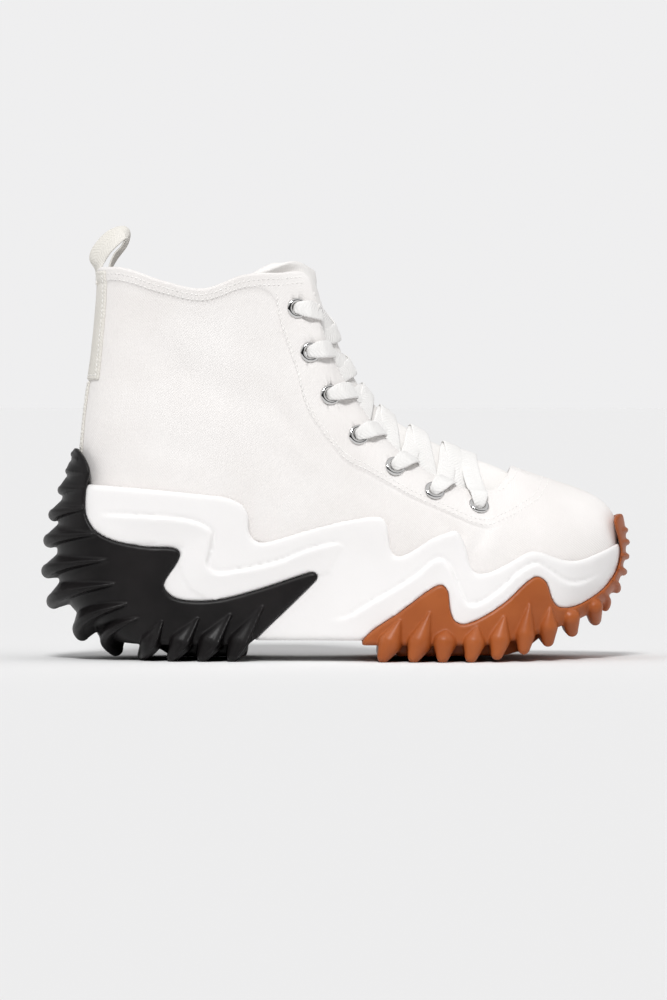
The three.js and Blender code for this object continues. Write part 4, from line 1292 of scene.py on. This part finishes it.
def add_tongue():
    share = np.concatenate([np.linspace(0, 0.02, 8), np.linspace(0.03, 1, 110)])
    rim = np.linspace(1.9, 1.96, 5)
    position = TONGUE_LAST * share[:, None]
    across = np.concatenate([-rim[::-1], np.linspace(-1.86, 1.86, 70), rim])
    face, normal = tongue_surface(position, across), tongue_normal(position, across)
    far, aside = far_along(face, 0), far_along(face, 1)
    end = np.minimum(far, far[-1:] - far)
    edge = np.minimum(aside, aside[:, -1:] - aside)
    puff = ROLL["puff"] * bell(far, ROLL["reach"]) + ROLL["swell"] * bell(far - ROLL["swell_at"], 14)
    thick = (TONGUE_THICKNESS + puff) * np.maximum(0.06, rounded_edge(end, 2.8) * rounded_edge(edge, 2.4))
    seam = ROLL["seam"] * bell(far - ROLL["seam_at"], 1.5) * smooth_step(1, 4, edge)
    wave = 0.25 * np.sin(far / 7.5 + aside / 20) * smooth_step(6, 20, far)
    middle = face - normal * (TONGUE_THICKNESS / 2)
    outer = middle + normal * (thick / 2 + np.minimum(wave - seam, 0))[..., None]
    inner = middle - normal * (thick / 2 - seam * 0.8)[..., None]
    points, quads, uv = woven_slab(outer, inner, weave_places(face))
    piece = add_piece("tongue_padded", (points, quads[:, ::-1], uv), "tongue_cloth", ["tongue"])


def add_insole():
    stations = np.linspace(0, TOE, 400)
    ring = upper_point(stations, 0, -WALL - 2 * GAP)
    x = np.linspace(ring[0, 0] + 0.4, ring[-1, 0] - 0.4, 150)[:, None]
    half = np.interp(x, ring[:, 0], -ring[:, 1])
    across = np.sin(np.linspace(-0.5, 0.5, 46) * np.pi)[None, :]
    y = half * across
    edge = half - np.abs(y) + 0 * x
    floor = footbed(x) + GAP + 0 * y
    thick = INSOLE_THICKNESS * np.maximum(0.15, rounded_edge(edge, 1.6))
    dish = 0.9 * bell(x - 58, 22) * bell(y, 17) + 0.7 * bell(x - 215, 24) * bell(y, 24)
    top = floor + (INSOLE_THICKNESS + thick) / 2 - dish
    low = floor + (INSOLE_THICKNESS - thick) / 2
    outer, inner = (np.stack([x + 0 * y, y, z], -1) for z in (top, low))
    form = woven_slab(outer, inner, outer[..., :2] * MM)
    piece = add_piece("insole_padded", form, "insole_cloth", ["insole"])


add_tongue()
add_insole()


# ---------------------------------------------------------------- eyelets and laces
def eyelet_profile():
    """The eyelet's section: a domed flange outside, a barrel and a rolled end inside."""
    hole, barrel, flange, height = (EYELET[key] for key in ("hole", "barrel", "flange", "height"))
    inside = -WALL - PANEL_RISE
    return [
        (hole, inside - 0.4), (hole - 0.05, 0), (hole + 0.05, height * 0.42), (hole + 0.35, height * 0.74),
        (hole + 0.8, height * 0.95), (hole + 1.2, height), (flange - 0.75, height * 0.93),
        (flange - 0.35, height * 0.7), (flange - 0.05, height * 0.38),
        (flange - 0.05, 0.02), (barrel, 0), (barrel, inside - 0.05), (barrel + 1.1, inside - 0.1),
        (barrel + 1.3, inside - 0.45), (barrel + 0.8, inside - 0.85), (hole + 0.4, inside - 0.8),
    ]


def turned(points, seat, proud=0.0):
    """Points drawn round z, turned so that z leaves the upper at a seat."""
    normal = upper_normal(*seat)
    side = unit(np.cross([0, 0, 1.0], normal))
    return on_canvas(*seat, proud) + points @ np.stack([side, np.cross(normal, side), normal])


def add_eyelets():
    points, quads = lathe(smooth_line(eyelet_profile(), 0.45, closed=True), 44)
    for index, seat in enumerate(eyelet_seats()):
        label = f"eyelet_{'outer' if index < len(EYELETS) else 'inner'}_{index % len(EYELETS) + 1}"
        add_piece(label + "_ring", (turned(points, seat), quads), "eyelet_metal", [label])


def on_tongue(edge, across, proud):
    """A place over the tongue, at a station of the throat's edge: its point and its face's direction."""
    row = np.interp(edge, TONGUE[:, 2], np.arange(len(TONGUE)))
    face = tongue_normal(row, across)
    return tongue_surface(row, across) + face * proud, face


def on_facing(spot, edge, share, proud, side):
    """A place over the facing, from an eyelet (0) to a station of the throat's edge (1)."""
    station, up = mix(spot[0], edge, share), mix(spot[1], 1.0, share)
    seat = (station if side < 0 else 2 * TOE - station, up)
    return on_canvas(*seat, proud), upper_normal(*seat)


def into_eyelet(spot, edge, side):
    """The end of a lace that comes over the throat's edge and goes down through an eyelet."""
    wide, thick, narrow = LACE["width"], LACE["thickness"], LACE["in_hole"]
    brink, face = on_facing(spot, edge, 1, 1.5, side)
    seat, down = on_facing(spot, edge, 0, 0, side)
    toward = unit(seat - brink - down * np.dot(seat - brink, down))
    return [
        (brink, face, wide, thick),
        (seat - toward * 6.6 + down * 2.4, unit(down + face), wide * 0.98, thick),
        (seat - toward * 3.6 + down * 2.3, down, wide * 0.88, thick * 1.1),
        (seat - toward * 0.3 + down * 1.2, unit(down + toward), mix(wide, narrow, 0.7), thick * 1.3),
        (seat + toward * 0.9 - down * 0.8, unit(toward + down * 0.1), narrow, thick * 1.5),
        (seat + toward * 0.6 - down * 3.2, toward, narrow, thick * 1.4),
    ]


# A crossing lies on the facing for this share of the way at either end. Over the tongue it has its
# share of the way up and how far it stands off. The upper lace of two arches over the lower.
LACE_ON_FACING = 0.15
OVER_LIFT = 1.3
LACE_OVER_TONGUE = [(0.2, 0.9), (0.32, 1.0), (0.42, 1.1), (0.5, 1.2), (0.58, 1.3), (0.68, 1.5), (0.79, 2.4)]


def crossing_lace(lower, higher, side, lift):
    """A lace from inside the lower eyelet, straight up over the tongue and into the higher one."""
    wide, thin = LACE["width"], 0.9
    under = -WALL - PANEL_RISE - 0.65
    first, last = mix(lower[2], higher[2], LACE_ON_FACING), mix(higher[2], lower[2], LACE_ON_FACING)
    seat, down = on_facing(lower, first, 0, 0, side)
    places = [(seat + down * (under - 0.9), down, LACE["in_hole"], thin)]
    for share in (0.5, 0.95):
        point, face = on_facing(lower, first, share, under, side)
        places.append((point, face, wide * 0.9, thin))
    for share, proud in LACE_OVER_TONGUE:
        across = side * (1 - 2 * (share - LACE_ON_FACING) / (1 - 2 * LACE_ON_FACING))
        arch = lift * bell(share - 0.5, 0.14)
        point, face = on_tongue(mix(lower[2], higher[2], share), across, proud + arch)
        places.append((point, face, wide, LACE["thickness"]))
    return ribbon(places + into_eyelet(higher, last, -side))


def add_laces():
    for index in range(len(EYELETS) - 1):
        higher, lower = EYELET_SPOTS[index], EYELET_SPOTS[index + 1]
        under, over = crossing_lace(lower, higher, 1, 0.0), crossing_lace(lower, higher, -1, OVER_LIFT)
        name = f"lace_crossing_{index + 1}"
        add_piece(name, joined([under, over]), "lace_weave", [f"lace_cross_{index + 1}"])
    spot = EYELET_SPOTS[-1]
    outer, inner = (into_eyelet(spot, spot[2], side) for side in (-1, 1))
    size = LACE["width"], LACE["thickness"]
    middle = [(*on_tongue(spot[2], across, 2.2), *size) for across in (-0.5, 0, 0.5)]
    add_piece("lace_bottom_bar", ribbon(outer[::-1] + middle + inner), "lace_weave", ["lace_bar"])


add_eyelets()
add_laces()


# ---------------------------------------------------------------- pull loop and heel tape
TAPE_FOOT = 0.595
SEAM_FOOT = 0.3
TAPE_HALF = 1.12
SEAM_HALF = 0.42


def add_pull_loop():
    path = PULL_LOOP[:, :3]
    places = []
    for point, along, turn in zip(path, unit(np.gradient(path, axis=0)), np.radians(PULL_LOOP[:, 3])):
        face = unit(np.array([-along[2], 0, along[0]])) * np.cos(turn) - np.array([0, np.sin(turn), 0])
        places.append((point, face, LOOP["width"], LOOP["thickness"]))
    add_piece("pull_loop_tape", ribbon(places, spacing=0.6, sides=24), "heel_tape", ["pull_loop"])


def strip_on_upper(half, low, high, thick, columns=60, rows=90):
    """A flat strip sewn over the heel's seam, with rounded edges."""
    station = half * np.linspace(-1, 1, columns)[:, None]
    up = mix(low, high, np.linspace(0, 1, rows))[None, :]
    base = on_canvas(station, up, 0.12)
    aside, far = far_along(base, 0), far_along(base, 1)
    edge = np.minimum(np.minimum(aside, aside[-1:] - aside), np.minimum(far, far[:, -1:] - far))
    rise = thick * np.maximum(0.15, rounded_edge(edge, 0.9)) - 0.25 * bell(edge - 2.2, 0.5)
    return woven_slab(base + upper_normal(station, up) * rise[..., None], base, weave_places(base))


def add_heel_tape():
    tape = strip_on_upper(TAPE_HALF, TAPE_FOOT, 0.995, 0.9)
    seam = strip_on_upper(SEAM_HALF, SEAM_FOOT, TAPE_FOOT - 0.004, 0.7, columns=30)
    add_piece("heel_tape_strip", tape, "heel_tape")
    add_piece("back_seam_strip", seam, "heel_tape")


add_pull_loop()
add_heel_tape()

# ---------------------------------------------------------------- stitches
STITCH = {"pitch": 2.5, "length": 1.9, "radius": 0.27}
# How far in from the edge each row of stitches runs, in millimetres, and the stations it runs to.
HEM_ROWS = (2.2, 5.2)
PANEL_STITCHES = (1.6, 4.4)
THROAT_INSET = 2.4
COLLAR_END = 6.75
PANEL_START = 5.92
THROAT_START = 7.25


def stitch_shape():
    """One stitch along x: a short round thread that dips into the cloth at both ends."""
    share = np.linspace(-1, 1, 7)
    radius = STITCH["radius"] * np.maximum(0.3, np.sqrt(1 - share ** 4))
    turn = np.linspace(0, 2 * np.pi, 6, endpoint=False)[None, :]
    x = share[:, None] * STITCH["length"] / 2 + 0 * turn
    z = radius[:, None] * np.sin(turn) - 0.28 * share[:, None] ** 2
    return capped_tube(np.stack([x, radius[:, None] * np.cos(turn), z], -1))


def stitches(points, normals):
    """Stitches along a line of points, with the cloth's normal at each."""
    far = far_on_line(points)
    places = np.arange(STITCH["pitch"] / 2, far[-1], STITCH["pitch"])
    spot, face = (np.stack([np.interp(places, far, rows[:, axis]) for axis in range(3)], -1)
                  for rows in (points, normals))
    along = unit(np.stack([np.interp(places, far, part) for part in np.gradient(points, axis=0).T], -1))
    side = unit(np.cross(face, along))
    shape, quads = stitch_shape()
    whole = spot[:, None] + shape[:, 0, None] * along[:, None] + shape[:, 1, None] * side[:, None]
    whole = whole + shape[:, 2, None] * np.cross(along, side)[:, None]
    count = np.arange(len(spot))[:, None, None] * len(shape)
    return whole.reshape(-1, 3), (quads[None] + count).reshape(-1, 4)


def stitches_on_upper(station, up, proud=0.05):
    return stitches(on_canvas(station, up, proud), upper_normal(station, up))


def column_length(station):
    rise = upper_surface(np.asarray(station)[:, None], np.linspace(0, 1, 40)[None, :])
    return np.linalg.norm(np.diff(rise, axis=1), axis=-1).sum(axis=1)


def add_stitches():
    collar = np.linspace(TAPE_HALF + 0.05, COLLAR_END, 260)
    panel = np.linspace(PANEL_STATIONS[np.argmin(np.abs(PANEL_STATIONS - PANEL_START))],
                        2 * TOE - PANEL_START, 1600)
    throat = np.linspace(THROAT_START, 2 * TOE - THROAT_START, 1200)
    parts = []
    for inset in HEM_ROWS:
        up = 1 - inset / column_length(collar) * 0.9
        parts += [stitches_on_upper(collar, up), stitches_on_upper(2 * TOE - collar, up)]
    for inset in PANEL_STITCHES:
        parts.append(stitches_on_upper(panel, panel_up(panel) + inset / column_length(panel)))
    parts.append(stitches_on_upper(throat, 1 - THROAT_INSET / column_length(throat)))
    for side in (-1, 1):
        up = np.linspace(TAPE_FOOT + 0.01, 0.985, 120)
        parts.append(stitches_on_upper(side * (TAPE_HALF - 0.17), up, 0.95))
        up = np.linspace(SEAM_FOOT + 0.02, TAPE_FOOT - 0.01, 100)
        parts.append(stitches_on_upper(side * (SEAM_HALF - 0.14), up, 0.75))
    across = np.linspace(-TAPE_HALF + 0.2, TAPE_HALF - 0.2, 60)
    parts.append(stitches_on_upper(across, TAPE_FOOT + 0.018, 0.95))
    add_piece("stitches", joined(parts), "canvas", finish="thread")


add_stitches()

# ---------------------------------------------------------------- floor and light
FLOOR_TONE = 0.82
FLOOR_REACH = 30
BACKGROUND_TINT = (1, 0.998, 1.004)
SUN = {"strength": 2.0, "spread": 13, "from": (-0.1, -1.0, 1.1)}
# The studio's light from the backdrop's foot (0) over the top (0.5) to the floor in front (1):
# a plain backdrop, a dim back wall, a broad soft lamp above and in front, and a dark room.
SKY = [(0.035, 0.863), (0.09, 0.3), (0.3, 0.3), (0.45, 0.8), (0.72, 0.8), (0.86, 0.02)]
SKY_PEAK = 0.863


def add_floor():
    mesh = bpy.data.meshes.new("floor")
    corners = [(-1, -1), (1, -1), (1, 1), (-1, 1)]
    mesh.from_pydata([(x * FLOOR_REACH, y * FLOOR_REACH, 0) for x, y in corners], [], [(0, 1, 2, 3)])
    floor = bpy.data.objects.new("floor", mesh)
    bpy.context.scene.collection.objects.link(floor)
    finish = Finish("floor", (FLOOR_TONE,) * 3, 0.9, specular=0.0)
    finish.rough(finish.noise(3, 2), 0.85, 0.95)
    mesh.materials.append(finish.material)


def add_sky():
    """A studio whose light comes from above and in front, round an axis along the shoe."""
    world = bpy.data.worlds.new("studio")
    world.use_nodes = True
    nodes = Nodes(world.node_tree)
    way = nodes.add("SeparateXYZ", {"Vector": nodes.add("TexCoord").outputs["Generated"]})
    angle = nodes.math("ARCTAN2", way.outputs["Z"], way.outputs["Y"])
    spread = nodes.add("MapRange", {"Value": angle, "From Max": np.pi})
    ramp = nodes.add("ValToRGB", {"Fac": spread.outputs["Result"]})
    elements = ramp.color_ramp.elements
    while len(elements) < len(SKY):
        elements.new(0.5)
    for element, (position, tone) in zip(elements, SKY):
        element.position = position
        element.color = (*(np.array(BACKGROUND_TINT) * tone / SKY_PEAK), 1)
    nodes.set(world.node_tree.nodes["Background"], {"Color": ramp.outputs["Color"], "Strength": SKY_PEAK})
    return world


def add_light():
    bpy.context.scene.world = add_sky()
    data = bpy.data.lights.new("key", "SUN")
    data.energy = SUN["strength"]
    data.angle = np.radians(SUN["spread"])
    key = bpy.data.objects.new("key", data)
    key.rotation_euler = Vector(SUN["from"]).to_track_quat("Z", "Y").to_euler()
    bpy.context.scene.collection.objects.link(key)


add_floor()
add_light()
bpy.context.scene.view_settings.view_transform = "Standard"
